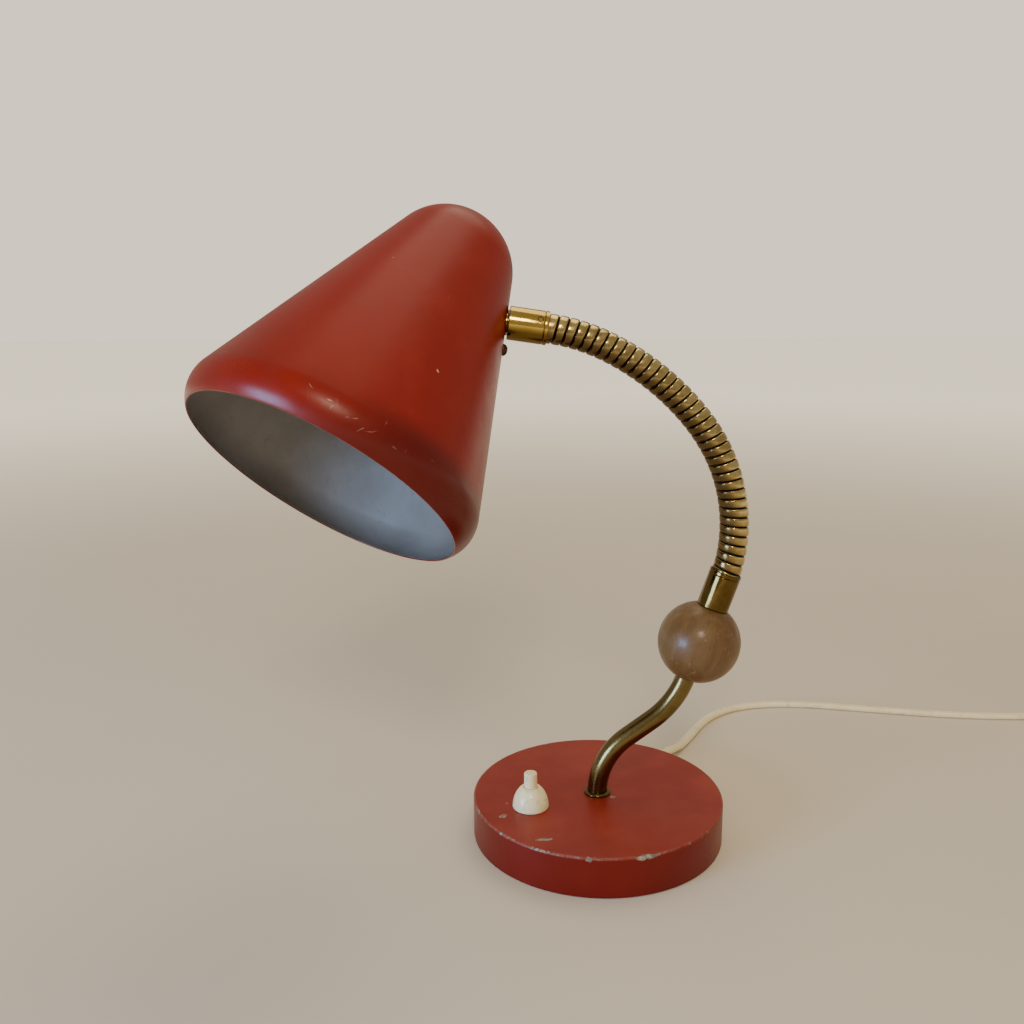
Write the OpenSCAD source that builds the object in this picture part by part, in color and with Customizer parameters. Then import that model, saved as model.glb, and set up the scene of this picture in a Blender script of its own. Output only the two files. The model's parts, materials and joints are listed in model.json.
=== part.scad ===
// Gooseneck desk lamp: weighted round base with push switch, bent stem,
// wooden ball, flexible brass neck, conical shade and mains cord.
// All sizes in millimetres. Origin: centre of the underside, +Z up.
// The neck bends in the XZ plane, from the stem (+X) over to the shade (-X).

/* [Base] */
// Radius of the round base
base_r = 70; // [66:0.5:76]
// Height of the base
base_h = 22.5; // [21.5:0.5:26]
// Sheet thickness of the base shell
base_wall = 1.2; // [0.8:0.1:1.5]
// Rounding of the top edge of the base
base_edge = 1.2; // [0.8:0.1:1.2]

/* [Push switch] */
// Distance of the switch from the stem towards -X
switch_x = 38; // [34:1:42]
// Distance of the switch from the stem towards -Y
switch_y = 15.5; // [12:0.5:20]
// Height of the domed collar above the base
dome_h = 12; // [11:0.5:12.5]
// Travel of the push button
press = 3; // [2:0.5:3.5]

/* [Stem] */
// Outer radius of the bent stem tube
stem_r = 5.5; // [5:0.1:5.6]
// Angle by which the stem leans out before it turns up again
stem_lean = 53; // [45:1:58]
// Radius of the lower bend
bend_a = 41; // [36:1:44]
// Radius of the upper bend
bend_b = 52; // [46:1:56]
// Radius of the wooden ball
ball_r = 22.5; // [20:0.5:25]

/* [Neck] */
// Lean of the lower ferrule from the vertical
neck_lean = 18.5; // [15:0.5:22]
// Outer radius of the flexible neck
neck_r = 7.8; // [7.4:0.1:7.8]
// Length of one rigid link of the neck between two pivots
link_len = 15.2; // [15:0.1:15.4]
// Outer radius of both ferrules
ferrule_r = 8.75; // [8.6:0.05:9.5]

/* [Shade] */
// Radius of the round nose of the shade
nose_r = 34.6; // [33.5:0.1:36]
// Half-angle of the cone
cone = 18.9; // [18:0.1:20]
// Largest radius of the shade
shade_r = 76.5; // [72:0.5:80]
// Radius of the turned-in shoulder at the mouth
shoulder = 17.9; // [14:0.1:20]
// Turn of the shade about the upper ferrule
shade_turn = 32; // [0:1:60]
// Sheet thickness of the shade
shade_wall = 0.9; // [0.8:0.1:1.2]

/* [Cord] */
// Width of the flat cord
cord_w = 6; // [5.5:0.1:6]
// Thickness of the flat cord
cord_t = 3.8; // [3.4:0.1:3.8]

/* [Hidden] */

RED = [0.62, 0.16, 0.12];
BRASS = [0.72, 0.58, 0.26];
OLD_BRASS = [0.38, 0.30, 0.18];
IVORY = [0.90, 0.87, 0.78];
STEEL = [0.66, 0.67, 0.68];
IRON = [0.25, 0.25, 0.26];
EPS = 0.01;

// ---- helpers -------------------------------------------------------------
// bend the frame to heading a from +Z towards +X
module head(a) { rotate([0, a, 0]) children(); }
module after_right(R, a) { translate([R * (1 - cos(a)), 0, R * sin(a)]) head(a) children(); }
module after_left(R, a) { translate([-R * (1 - cos(a)), 0, R * sin(a)]) head(-a) children(); }
module ring(h, ro, ri, z = 0) {
  translate([0, 0, z]) difference() {
    cylinder(h = h, r = ro, $fn = 96);
    translate([0, 0, -1]) cylinder(h = h + 2, r = ri, $fn = 96);
  }
}
module hexnut(af, h, r) {
  difference() {
    cylinder(h = h, r = af / sqrt(3), $fn = 6);
    translate([0, 0, -1]) cylinder(h = h + 2, r = r, $fn = 64);
  }
}
function unit(v) = v / norm(v);
function tangent(p, i) = unit(p[min(i + 1, len(p) - 1)] - p[max(i - 1, 0)]);
// round lead of radius r swept through the points p; n is any direction the path never takes
module lead(p, r, n = [0, 0, 1]) {
  m = 10;
  pts = [for (i = [0:len(p) - 1]) let (d = tangent(p, i), s = unit(cross(n, d)), u = cross(d, s))
    for (k = [0:m - 1]) p[i] + r * (cos(36 * k + 18) * s + sin(36 * k + 18) * u)];
  polyhedron(points = pts, faces = concat(
    [[for (k = [0:m - 1]) k]],
    [for (i = [0:len(p) - 2]) for (k = [0:m - 1]) [i * m + k, (i + 1) * m + k, (i + 1) * m + (k + 1) % m]],
    [for (i = [0:len(p) - 2]) for (k = [0:m - 1]) [i * m + k, (i + 1) * m + (k + 1) % m, i * m + (k + 1) % m]],
    [[for (k = [m - 1:-1:0]) (len(p) - 1) * m + k]]));
}

// ---- base ----------------------------------------------------------------
gland_az = 58;          // direction in which the cord leaves
gland_z = 8;            // height of the cord outlet
weight_z = base_h - base_wall - 10;
screw_pos = [for (a = [100, 220, 340]) [54 * cos(a), 54 * sin(a)]];

module base_shell() {
  color(RED) difference() {
    rotate_extrude($fn = 180) difference() {
      union() {
        translate([0, 0.5]) square([base_r, base_h - 0.5 - base_edge]);
        translate([0, base_h - base_edge - EPS]) square([base_r - base_edge, base_edge + EPS]);
        translate([base_r - base_edge, base_h - base_edge]) circle(r = base_edge, $fn = 48);
      }
      translate([-1, -1]) square([base_r - base_wall + 1, base_h - base_wall + 1]);
      translate([-9, -1]) square([9, base_h + 2]);
    }
    translate([0, 0, base_h - 4]) cylinder(h = 6, r = stem_r + 0.05, $fn = 64);
    translate([-switch_x, -switch_y, base_h - 4]) cylinder(h = 6, r = 5.1, $fn = 64);
    rotate([0, 0, gland_az]) translate([base_r - 6, 0, gland_z]) rotate([0, 90, 0]) cylinder(h = 10, r = 4.7, $fn = 64);
  }
}

module base_weight() {
  color(IRON) difference() {
    union() {
      translate([0, 0, weight_z]) cylinder(h = 10, r = 66.5, $fn = 180);
      for (p = screw_pos) translate([p[0], p[1], 2.2]) cylinder(h = 12, r = 5, $fn = 48);
    }
    translate([0, 0, weight_z - 1]) cylinder(h = 12, r = stem_r + 0.1, $fn = 64);
    translate([-switch_x, -switch_y, weight_z - 1]) cylinder(h = 12, r = 13, $fn = 64);
    rotate([0, 0, gland_az]) translate([42, -9, weight_z - 1]) cube([30, 18, 12]);
    for (p = screw_pos) translate([p[0], p[1], 1]) cylinder(h = 11, r = 2, $fn = 32);
  }
}

module base_plate() {
  color(STEEL) difference() {
    translate([0, 0, 1]) cylinder(h = 1.2, r = base_r - base_wall - 0.3, $fn = 180);
    for (p = screw_pos) translate([p[0], p[1], 0.9]) cylinder(h = 1.4, r1 = 3.7, r2 = 2.1, $fn = 48);
  }
}

module felt_pad() { color([0.16, 0.30, 0.20]) cylinder(h = 1, r = 67, $fn = 180); }

module base_screws() {
  color(STEEL) for (p = screw_pos) translate([p[0], p[1], 0]) {
    difference() {
      translate([0, 0, 1]) cylinder(h = 1.2, r1 = 3.5, r2 = 1.95, $fn = 48);
      translate([-3, -0.4, 0.9]) cube([6, 0.8, 0.6]);
    }
    translate([0, 0, 2.19]) cylinder(h = 7.3, r = 1.95, $fn = 32);
  }
}

// ---- push switch ---------------------------------------------------------
module at_switch() { translate([-switch_x, -switch_y, 0]) children(); }
button_r = 3.6;
switch_z = 6.3;         // underside of the switch
button_top = base_h + 20;

// egg-shaped collar: radius 10 at the foot, 13.6 high if it were closed
function dome_r(z) = 10 * sqrt(1 - pow(z / 13.6, 2));
module switch_dome() {
  color(IVORY) at_switch() translate([0, 0, base_h]) rotate_extrude($fn = 96) polygon(concat(
    [[5.2, 0], [9.7, 0]], [for (k = [1:20]) [dome_r(dome_h * k / 20), dome_h * k / 20]],
    [[button_r + 0.5, dome_h], [button_r + 0.3, dome_h - 0.3], [button_r + 0.3, 6.6], [5.2, 6.6]]));
}

module switch_button() {
  color(IVORY) at_switch() {
    translate([0, 0, base_h - 2.6]) cylinder(h = button_top - base_h + 2.6 - 0.8, r = button_r, $fn = 64);
    translate([0, 0, button_top - 0.8 - EPS]) cylinder(h = 0.8 + EPS, r1 = button_r, r2 = button_r - 0.8, $fn = 64);
    translate([0, 0, base_h - 3.6]) cylinder(h = 1.4, r = 4.2, $fn = 64);
  }
}

module switch_body() {
  color([0.18, 0.13, 0.10]) at_switch() difference() {
    union() {
      translate([0, 0, switch_z]) cylinder(h = base_h - base_wall - switch_z - 0.1, r = 11.5, $fn = 96);
      translate([0, 0, base_h - base_wall - 0.2]) cylinder(h = base_wall + 0.2 + 6.2, r = 5, $fn = 64);
    }
    translate([0, 0, base_h - 3.6 - press - 8.2]) cylinder(h = press + 8.2 + 1.6, r = 4.5, $fn = 64);
    translate([0, 0, base_h - 3]) cylinder(h = 12, r = button_r + 0.06, $fn = 64);
    for (s = [-1, 1]) translate([s * 8, 0, switch_z - 1]) cylinder(h = 5.2, r = 1.5, $fn = 32);
  }
}

// compression spring under the button, four turns drawn as stacked rings on a seat coil
module switch_spring() {
  z0 = base_h - 3.6 - press - 8.2;
  color(STEEL) at_switch() {
    for (k = [0:4]) translate([0, 0, z0 + 0.3 + k * 2.55])
      rotate_extrude($fn = 48) translate([3.5, 0]) circle(r = 0.3, $fn = 24);
    for (k = [0:3]) rotate([0, 0, 137 * k]) translate([3.5, 0, z0 + 0.3 + k * 2.55]) cylinder(h = 2.55, r = 0.28, $fn = 24);
  }
}

module switch_terminals() {
  color(BRASS) at_switch() for (s = [-1, 1]) translate([s * 8, 0, 0]) difference() {
    union() {
      translate([0, 0, switch_z - 0.1]) cylinder(h = 4, r = 1.45, $fn = 32);
      translate([0, 0, switch_z - 0.7]) cylinder(h = 0.65, r = 2.4, $fn = 32);
    }
    translate([-3, -0.3, switch_z - 0.8]) cube([6, 0.6, 0.4]);
  }
}

// ---- stem ----------------------------------------------------------------
stem_bore = stem_r - 1.5;
stem_z = base_h + 1;
stem_run = 17;
module after_stem() {
  translate([0, 0, stem_z]) after_right(bend_a, stem_lean) translate([0, 0, stem_run])
    after_left(bend_b, stem_lean - neck_lean) children();
}
// the frame at the centre of the ball, +Z along the neck's foot
module at_ball() { after_stem() translate([0, 0, 21.6]) children(); }

module stem_collar() {
  color(OLD_BRASS) rotate_extrude($fn = 96) difference() {
    union() {
      translate([stem_r + 0.1, base_h]) square([1.9, 1.3]);
      translate([stem_r + 0.1, base_h + 1.3 - EPS]) square([1.3, 0.7]);
    }
    translate([0, 0]) square([stem_r + 0.05, 60]);
  }
}
module stem_washer() { color(STEEL) ring(1, 11, stem_r + 0.1, weight_z - 1); }
module stem_nut() { color(STEEL) translate([0, 0, weight_z - 5.3]) hexnut(17, 4.3, stem_r); }

// centre line of the stem, from its foot to the ball
function turn(v, a) = [v[0] * cos(a) + v[2] * sin(a), v[1], -v[0] * sin(a) + v[2] * cos(a)];
bend_end = [bend_a * (1 - cos(stem_lean)), 0, stem_z + bend_a * sin(stem_lean)];
run_end = bend_end + stem_run * [sin(stem_lean), 0, cos(stem_lean)];
function arc_b(a) = run_end + turn([-bend_b * (1 - cos(a)), 0, bend_b * sin(a)], stem_lean);
ball_at = arc_b(stem_lean - neck_lean) + 21.6 * [sin(neck_lean), 0, cos(neck_lean)];
neck_dir = [sin(neck_lean), 0, cos(neck_lean)];
// tube of radius r and bore ri swept through the points p of a plane square to n
module swept_tube(p, r, ri, n) {
  m = 36;
  c = len(p);
  pts = [for (q = [r, ri]) for (i = [0:c - 1]) let (d = tangent(p, i), s = unit(cross(n, d)), u = cross(d, s))
    for (k = [0:m - 1]) p[i] + q * (cos(10 * k) * s + sin(10 * k) * u)];
  function o(i, k) = i * m + k % m;
  function b(i, k) = (c + i) * m + k % m;
  polyhedron(points = pts, faces = concat(
    [for (i = [0:c - 2]) for (k = [0:m - 1]) each [[o(i, k), o(i + 1, k), o(i + 1, k + 1)], [o(i, k), o(i + 1, k + 1), o(i, k + 1)]]],
    [for (i = [0:c - 2]) for (k = [0:m - 1]) each [[b(i, k), b(i + 1, k + 1), b(i + 1, k)], [b(i, k), b(i, k + 1), b(i + 1, k + 1)]]],
    [for (k = [0:m - 1]) each [[o(0, k), o(0, k + 1), b(0, k + 1)], [o(0, k), b(0, k + 1), b(0, k)]]],
    [for (k = [0:m - 1]) each [[o(c - 1, k), b(c - 1, k + 1), o(c - 1, k + 1)], [o(c - 1, k), b(c - 1, k), b(c - 1, k + 1)]]]));
}
module stem_tube() {
  color(OLD_BRASS) swept_tube(concat([[0, 0, 6], [0, 0, stem_z - 1]],
    [for (a = [3:5:stem_lean]) [bend_a * (1 - cos(a)), 0, stem_z + bend_a * sin(a)]],
    [run_end - 13 * [sin(stem_lean), 0, cos(stem_lean)], run_end - 4 * [sin(stem_lean), 0, cos(stem_lean)]],
    [for (a = [2:5:stem_lean - neck_lean]) arc_b(a)], [ball_at - 18 * neck_dir, ball_at - 13.6 * neck_dir]), stem_r, stem_bore, [0, 1, 0]);
}
// lead from the connector up through the stem and the ball to the neck
module stem_lead() {
  color([0.85, 0.83, 0.78]) lead(concat(
    [[17, -27, 5.6], [16.4, -21, 5], [9, -11, 4.2], [2, -3, 4.6], [0, 0, 8]],
    [for (a = [0:8:stem_lean]) [bend_a * (1 - cos(a)), 0, stem_z + bend_a * sin(a)]],
    [for (a = [0:7:stem_lean - neck_lean]) arc_b(a)],
    [ball_at, ball_at + 42 * neck_dir]), 1.7, [0, 1, 0]);
}

// ---- wiring in the base --------------------------------------------------
module at_gland() { rotate([0, 0, gland_az]) translate([0, 0, gland_z]) rotate([0, 90, 0]) children(); }
gland_end = base_r + 22;

module cord_gland() {
  color(IVORY) at_gland() difference() {
    union() {
      translate([0, 0, base_r - base_wall - 2.4]) cylinder(h = 2, r = 5.6, $fn = 64);
      translate([0, 0, base_r - base_wall - 0.5]) cylinder(h = base_wall + 0.6, r = 4.6, $fn = 64);
      translate([0, 0, base_r + 0.05]) cylinder(h = 1.6, r = 6, $fn = 64);
      translate([0, 0, base_r + 1.6]) cylinder(h = gland_end - base_r - 1.6, r1 = 5, r2 = 4, $fn = 64);
    }
    translate([0, 0, base_r - 8]) cylinder(h = 40, r = cord_w / 2 + 0.1, $fn = 64);
    for (k = [0:3]) translate([0, 0, base_r + 5 + k * 4]) difference() {
      cylinder(h = 1, r = 7, $fn = 64);
      translate([0, 0, -1]) cylinder(h = 3, r = 4.15 - 0.12 * k, $fn = 64);
    }
  }
}
module flat_section(w, t) {
  union() {
    square([w - t, t], center = true);
    for (s = [-1, 1]) translate([s * (w - t) / 2, 0]) circle(r = t / 2, $fn = 32);
  }
}
module cord_inside() {
  color(IVORY) at_gland() rotate([0, 0, 90]) translate([0, 0, 44])
    linear_extrude(height = gland_end - 44) flat_section(cord_w, cord_t);
}
module cord_clamp() {
  color(STEEL) rotate([0, 0, gland_az]) translate([52, 0, 0]) difference() {
    translate([0, -7, 2.2]) cube([8, 14, 9]);
    translate([-1, -3.2, 0]) cube([10, 6.4, gland_z + 1.95]);
  }
}
module connector_block() {
  color(IVORY) difference() {
    translate([12, -40, 2.3]) cube([20, 15, 8.2]);
    for (x = [17, 27]) {
      translate([x, -41, 5.6]) rotate([-90, 0, 0]) cylinder(h = 17, r = 1.9, $fn = 32);
      for (y = [-36, -29]) translate([x, y, 5.6]) cylinder(h = 6, r = 1.7, $fn = 32);
    }
  }
}
module connector_screws() {
  color(BRASS) for (x = [17, 27], y = [-36, -29]) translate([x, y, 7.8]) difference() {
    cylinder(h = 2.4, r = 1.65, $fn = 32);
    translate([-2, -0.3, 1.9]) cube([4, 0.6, 1]);
  }
}
// single leads: cord to switch, switch to connector, cord to connector
module switch_leads() {
  color([0.45, 0.25, 0.15]) {
    lead([[22.1, 38, 8], [15, 27, 5.4], [2, 17, 4.2], [-16, 8, 4.2], [-27, -2, 4.3], [-30, -11, 4.4], [-30, -15.5, 4.4]], 1.1);
    lead([[-46, -15.5, 4.4], [-45, -23, 4.3], [-35, -28, 4.2], [-20, -35, 4.2], [-5, -43, 4.2], [7, -48, 4.4], [14.5, -48, 5.2], [17, -44, 5.6], [17, -38, 5.6]], 1.1);
    lead([[24.5, 36.6, 8], [27.5, 26, 5.4], [27.5, 10, 4.6], [27.2, -10, 5], [27, -27.5, 5.6]], 1.1);
  }
}

// ---- ball and lower ferrule ----------------------------------------------
ferrule_lo = 20.8;
ferrule_len = 21;
module wood_ball() {
  color([0.45, 0.30, 0.18]) at_ball() difference() {
    sphere(r = ball_r, $fn = 120);
    translate([0, 0, -30]) cylinder(h = 18.5, r = stem_r + 0.05, $fn = 64);
    translate([0, 0, -30]) cylinder(h = 60, r = 4.9, $fn = 64);
    translate([0, 0, ferrule_lo]) cylinder(h = 10, r = 12, $fn = 64);
  }
}
module ball_nipple() {
  color(BRASS) at_ball() difference() {
    translate([0, 0, -11.4]) cylinder(h = 11.4 + ferrule_lo + 6, r = 4.85, $fn = 64);
    translate([0, 0, -20]) cylinder(h = 60, r = 3.4, $fn = 64);
  }
}
module lower_ferrule() {
  color(BRASS) at_ball() difference() {
    union() {
      translate([0, 0, ferrule_lo + 0.05]) cylinder(h = ferrule_len - 0.95, r = ferrule_r, $fn = 96);
      translate([0, 0, ferrule_lo + ferrule_len - 0.9]) cylinder(h = 0.9, r1 = ferrule_r, r2 = ferrule_r - 0.4, $fn = 96);
    }
    translate([0, 0, ferrule_lo - 1]) cylinder(h = 12, r = 4.9, $fn = 64);
    translate([0, 0, ferrule_lo + 9]) cylinder(h = 30, r = neck_r + 0.05, $fn = 96);
  }
}

// ---- flexible neck -------------------------------------------------------
// bend at each pivot, from the ferrule on the ball to the ferrule on the shade
BENDS = [12, 9.5, 9.5, 9.5, 9.5, 8, 6.5, 6, 6, 6.5, 8, 9];
neck_gap = 2.4;
nose = 6.6;
cup = 6.9;
neck_bore = 3.6;
function sum_to(v, n, i = 0) = i >= n ? 0 : v[i] + sum_to(v, n, i + 1);
stub = 6;      // from the lower ferrule to the first pivot
last = 8.8;    // from the last pivot to the upper ferrule
// frame of pivot k (0 to 11) before its own bend
module at_pivot(k) {
  if (k == 0) at_ball() translate([0, 0, ferrule_lo + ferrule_len + stub]) children();
  else at_pivot(k - 1) head(-BENDS[k - 1]) translate([0, 0, link_len]) children();
}
// groove ring that marks the turns of the band
module groove(z) {
  translate([0, 0, z]) difference() {
    cylinder(h = 0.8, r = neck_r + 1, $fn = 96);
    translate([0, 0, -1]) cylinder(h = 3, r = neck_r - 0.6, $fn = 96);
  }
}
// rounded nose of a link, centred on the pivot at its origin
module link_nose() {
  intersection() {
    sphere(r = nose, $fn = 96);
    translate([0, 0, -4.6]) cylinder(h = 4.6 + neck_gap / 2 + 0.4, r = nose + 1, $fn = 64);
  }
}
module link_cup(z) { translate([0, 0, z]) sphere(r = cup, $fn = 96); }
module link() {
  color(BRASS) difference() {
    union() {
      translate([0, 0, neck_gap / 2]) cylinder(h = link_len - neck_gap, r = neck_r, $fn = 96);
      link_nose();
    }
    link_cup(link_len);
    translate([0, 0, -10]) cylinder(h = 40, r = neck_bore, $fn = 64);
    groove(link_len / 3 - 0.4);
    groove(2 * link_len / 3 - 0.4);
  }
}
module at_link(k) { at_pivot(k - 1) head(-BENDS[k - 1]) children(); }
// foot of the neck, held in the lower ferrule
module neck_link_00() {
  color(BRASS) at_ball() translate([0, 0, ferrule_lo + 9.1]) difference() {
    h = ferrule_len + stub - 9.1 - neck_gap / 2;
    cylinder(h = h, r = neck_r, $fn = 96);
    link_cup(h + neck_gap / 2);
    translate([0, 0, -10]) cylinder(h = 40, r = neck_bore, $fn = 64);
  }
}
module neck_link_01() { at_link(1) link(); }
module neck_link_02() { at_link(2) link(); }
module neck_link_03() { at_link(3) link(); }
module neck_link_04() { at_link(4) link(); }
module neck_link_05() { at_link(5) link(); }
module neck_link_06() { at_link(6) link(); }
module neck_link_07() { at_link(7) link(); }
module neck_link_08() { at_link(8) link(); }
module neck_link_09() { at_link(9) link(); }
module neck_link_10() { at_link(10) link(); }
module neck_link_11() { at_link(11) link(); }
// head of the neck, held in the upper ferrule
module neck_link_12() {
  color(BRASS) at_link(12) difference() {
    union() {
      translate([0, 0, neck_gap / 2]) cylinder(h = last + 8.4 - neck_gap / 2, r = neck_r, $fn = 96);
      link_nose();
    }
    translate([0, 0, -10]) cylinder(h = 40, r = neck_bore, $fn = 64);
    groove(link_len / 3 - 0.4);
  }
}
// ---- head: ferrule and what turns with the shade -------------------------
head_len = 20.5;
// frame on the outside of the shade's wall, +Z into the shade
module at_head() { at_link(12) translate([0, 0, last + head_len + 0.9]) children(); }
module upper_ferrule() {
  color(BRASS) at_head() translate([0, 0, -head_len - 0.9]) difference() {
    union() {
      translate([0, 0, 0]) cylinder(h = 0.9, r1 = ferrule_r - 0.4, r2 = ferrule_r, $fn = 96);
      translate([0, 0, 0.9 - EPS]) cylinder(h = head_len - 0.9 + EPS, r = ferrule_r, $fn = 96);
    }
    translate([0, 0, -1]) cylinder(h = 9.5, r = neck_r + 0.05, $fn = 96);
    translate([0, 0, 0]) cylinder(h = 40, r = 5.05, $fn = 64);
    rotate([0, 0, -60]) translate([0, 0, 4.5]) rotate([0, 90, 0]) cylinder(h = 12, r = 1.3, $fn = 32);
  }
}
// small headless screw that holds the neck in the ferrule
module ferrule_screw() {
  color(IRON) at_head() translate([0, 0, -head_len - 0.9]) rotate([0, 0, -60]) translate([0, 0, 4.5]) rotate([0, 90, 0])
    difference() {
      translate([0, 0, neck_r + 0.02]) cylinder(h = 0.75, r = 1.28, $fn = 32);
      translate([-2, -0.2, neck_r + 0.5]) cube([4, 0.4, 1]);
    }
}

// frame of the shade: origin at the top of the nose, +Z along its axis to the mouth
hole_t = 46;
hole_r = nose_r / cos(cone) + (hole_t - nose_r) * tan(cone);
module at_shade() {
  at_head() rotate([0, 0, 180 + shade_turn]) rotate([0, 90 - cone, 0]) translate([-hole_r, 0, -hole_t]) children();
}
// frame on the wall at a distance s from the nipple towards the mouth, +Z inwards
module at_wall(s) { at_head() rotate([0, 0, 180 + shade_turn]) translate([s, 0, 0]) children(); }

lip_angle = 42;
shoulder_c = shade_r - shoulder;
shoulder_t = nose_r + (cos(cone) * shoulder_c - (nose_r - shoulder)) / sin(cone);
// outline of the shade, offset inwards by w
function outline(w) = concat(
  [for (k = [0:24]) let (a = (90 - cone) * k / 24) [(nose_r - w) * sin(a), nose_r - (nose_r - w) * cos(a)]],
  [for (k = [0:14]) let (a = -cone + (cone + lip_angle) * k / 14) [shoulder_c + (shoulder - w) * cos(a), shoulder_t + (shoulder - w) * sin(a)]]);
function reverse(v) = [for (i = [len(v) - 1:-1:0]) v[i]];
module shade() {
  color(RED) difference() {
    at_shade() rotate_extrude($fn = 180) polygon(concat(outline(0), reverse(outline(shade_wall))));
    at_wall(0) translate([0, 0, -5]) cylinder(h = 12, r = 5.1, $fn = 64);
    at_wall(16) translate([0, 0, -5]) cylinder(h = 12, r = 1.7, $fn = 32);
  }
}
module shade_nipple() {
  color(BRASS) at_head() difference() {
    translate([0, 0, -12]) cylinder(h = 19.6, r = 5, $fn = 64);
    translate([0, 0, -13]) cylinder(h = 40, r = 3.4, $fn = 64);
  }
}
module shade_washer() { color(IRON) at_head() ring(0.8, 6.6, 5.05, -0.82); }
module shade_nut() { color(STEEL) at_wall(0) translate([0, 0, 3.3]) hexnut(14, 3, 5.05); }
// point beside the wall: distance w towards the mouth, depth d inside the wall
function wall_point(w, d) = [hole_r + w * sin(cone) - d * cos(cone), hole_t + w * cos(cone) + d * sin(cone)];
function wall_w(t, d) = (t - hole_t - d * sin(cone)) / cos(cone);
module holder_bracket() {
  color(STEEL) difference() {
    at_shade() rotate([90, 0, 0]) linear_extrude(height = 14, center = true) polygon([[-9, 36],
      wall_point(wall_w(36, 1.75), 1.75), wall_point(22, 1.75), wall_point(22, 3.25), wall_point(wall_w(37.5, 3.25), 3.25), [-9, 37.5]]);
    at_wall(0) translate([0, 0, -1]) cylinder(h = 6, r = 5.05, $fn = 64);
    at_wall(16) translate([0, 0, -1]) cylinder(h = 6, r = 1.6, $fn = 32);
    at_shade() translate([0, 0, 30]) cylinder(h = 12, r = 5.05, $fn = 64);
  }
}
// dome-headed screw that stops the bracket from turning
module shade_screw() {
  color(IRON) at_wall(16) {
    translate([0, 0, -0.05]) mirror([0, 0, 1]) intersection() {
      translate([0, 0, -0.9]) sphere(r = 3.4, $fn = 64);
      cylinder(h = 4, r = 3.1, $fn = 64);
    }
    translate([0, 0, -0.3]) cylinder(h = 7.4, r = 1.5, $fn = 32);
  }
}
module shade_screw_nut() { color(STEEL) at_wall(16) translate([0, 0, 3.3]) hexnut(5.5, 2.4, 1.55); }

// ---- lampholder and bulb -------------------------------------------------
module holder_nipple() {
  color(BRASS) at_shade() difference() {
    translate([0, 0, 30]) cylinder(h = 14, r = 5, $fn = 64);
    translate([0, 0, 29]) cylinder(h = 16, r = 3.4, $fn = 64);
  }
}
module holder_nut() { color(STEEL) at_shade() translate([0, 0, 32.9]) hexnut(14, 3, 5.05); }
module holder_cap() {
  color([0.10, 0.08, 0.07]) difference() {
    at_shade() rotate_extrude($fn = 120) polygon([[5.05, 37.6], [11, 37.6], [16.5, 41], [19, 46], [19, 60], [17, 60], [17, 58], [5.05, 58]]);
    at_shade() translate([0, 0, 44.1]) cylinder(h = 10, r = 5.5, $fn = 64);
    at_wall(0) translate([0, 0, 10]) cylinder(h = 25, r = 2, $fn = 32);
  }
}
module holder_shell() {
  color([0.10, 0.08, 0.07]) at_shade() rotate_extrude($fn = 120)
    polygon([[15.1, 60.1], [20, 60.1], [20, 78], [19, 79], [20, 80], [20, 83], [18, 87], [15.1, 87]]);
}
module holder_sleeve() {
  color(BRASS) at_shade() rotate_extrude($fn = 96)
    polygon([[2, 58.1], [15, 58.1], [15, 86], [13.6, 86], [13.6, 59.6], [2, 59.6]]);
}
module holder_lead() {
  color([0.85, 0.83, 0.78]) at_wall(0) translate([0, 0, -8]) cylinder(h = 39, r = 1.7, $fn = 32);
}
module bulb_glass() {
  color([0.96, 0.95, 0.92]) at_shade() rotate_extrude($fn = 120) polygon(concat(
    [[12.3, 84]], [for (k = [0:30]) let (a = 146 - 146 * k / 30) [22.5 * sin(a), 110.5 + 22.5 * cos(a)]],
    [for (k = [0:30]) let (a = 146 * k / 30) [21.7 * sin(a), 110.5 + 21.7 * cos(a)]], [[11.5, 84]]));
}
module bulb_cap() {
  color(STEEL) at_shade() {
    ring(22, 13.2, 12.35, 64);
    translate([0, 0, 62.5]) cylinder(h = 1.5, r1 = 8, r2 = 13.2, $fn = 64);
    translate([0, 0, 60.2]) cylinder(h = 2.31, r = 4.5, $fn = 48);
  }
}

// ---- mains cord ----------------------------------------------------------
floor_z = cord_t / 2;
// centre line from the gland to the coil; x, y, z
ROUTE = [[48.8, 78, 8], [53, 84.8, 7.2], [58, 93, 4.8], [63.5, 102, 2.6], [69, 111.5, 1.9], [75, 122, 1.9],
  [81, 133, 1.9], [88, 144, 1.9], [97, 154.5, 1.9], [109, 163.5, 1.9], [123, 169.5, 1.9], [138, 172.5, 1.9],
  [154, 173, 1.9], [170, 171.5, 1.9], [186, 168.5, 1.9], [202, 165, 1.9], [218, 161.5, 1.9], [234, 158, 1.9],
  [250, 155, 1.9], [266, 152.5, 1.9], [282, 150.5, 1.9], [298, 149.2, 1.9], [314, 148.6, 2], [330, 148.4, 2.3],
  [352, 148.4, 2.5]];
coil_x = 352;
coil_y = 110;
// centre line from the coil to the plug
TAIL = [[352, 150.5, 6.3], [364, 150, 5.8], [375, 146.5, 4.5], [384.5, 140.5, 2.8], [391.5, 132.5, 2], [395.5, 122.5, 1.9],
  [396.8, 112, 1.9], [396.8, 100, 2.3], [396.8, 88, 4.6], [396.8, 76, 7]];
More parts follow.
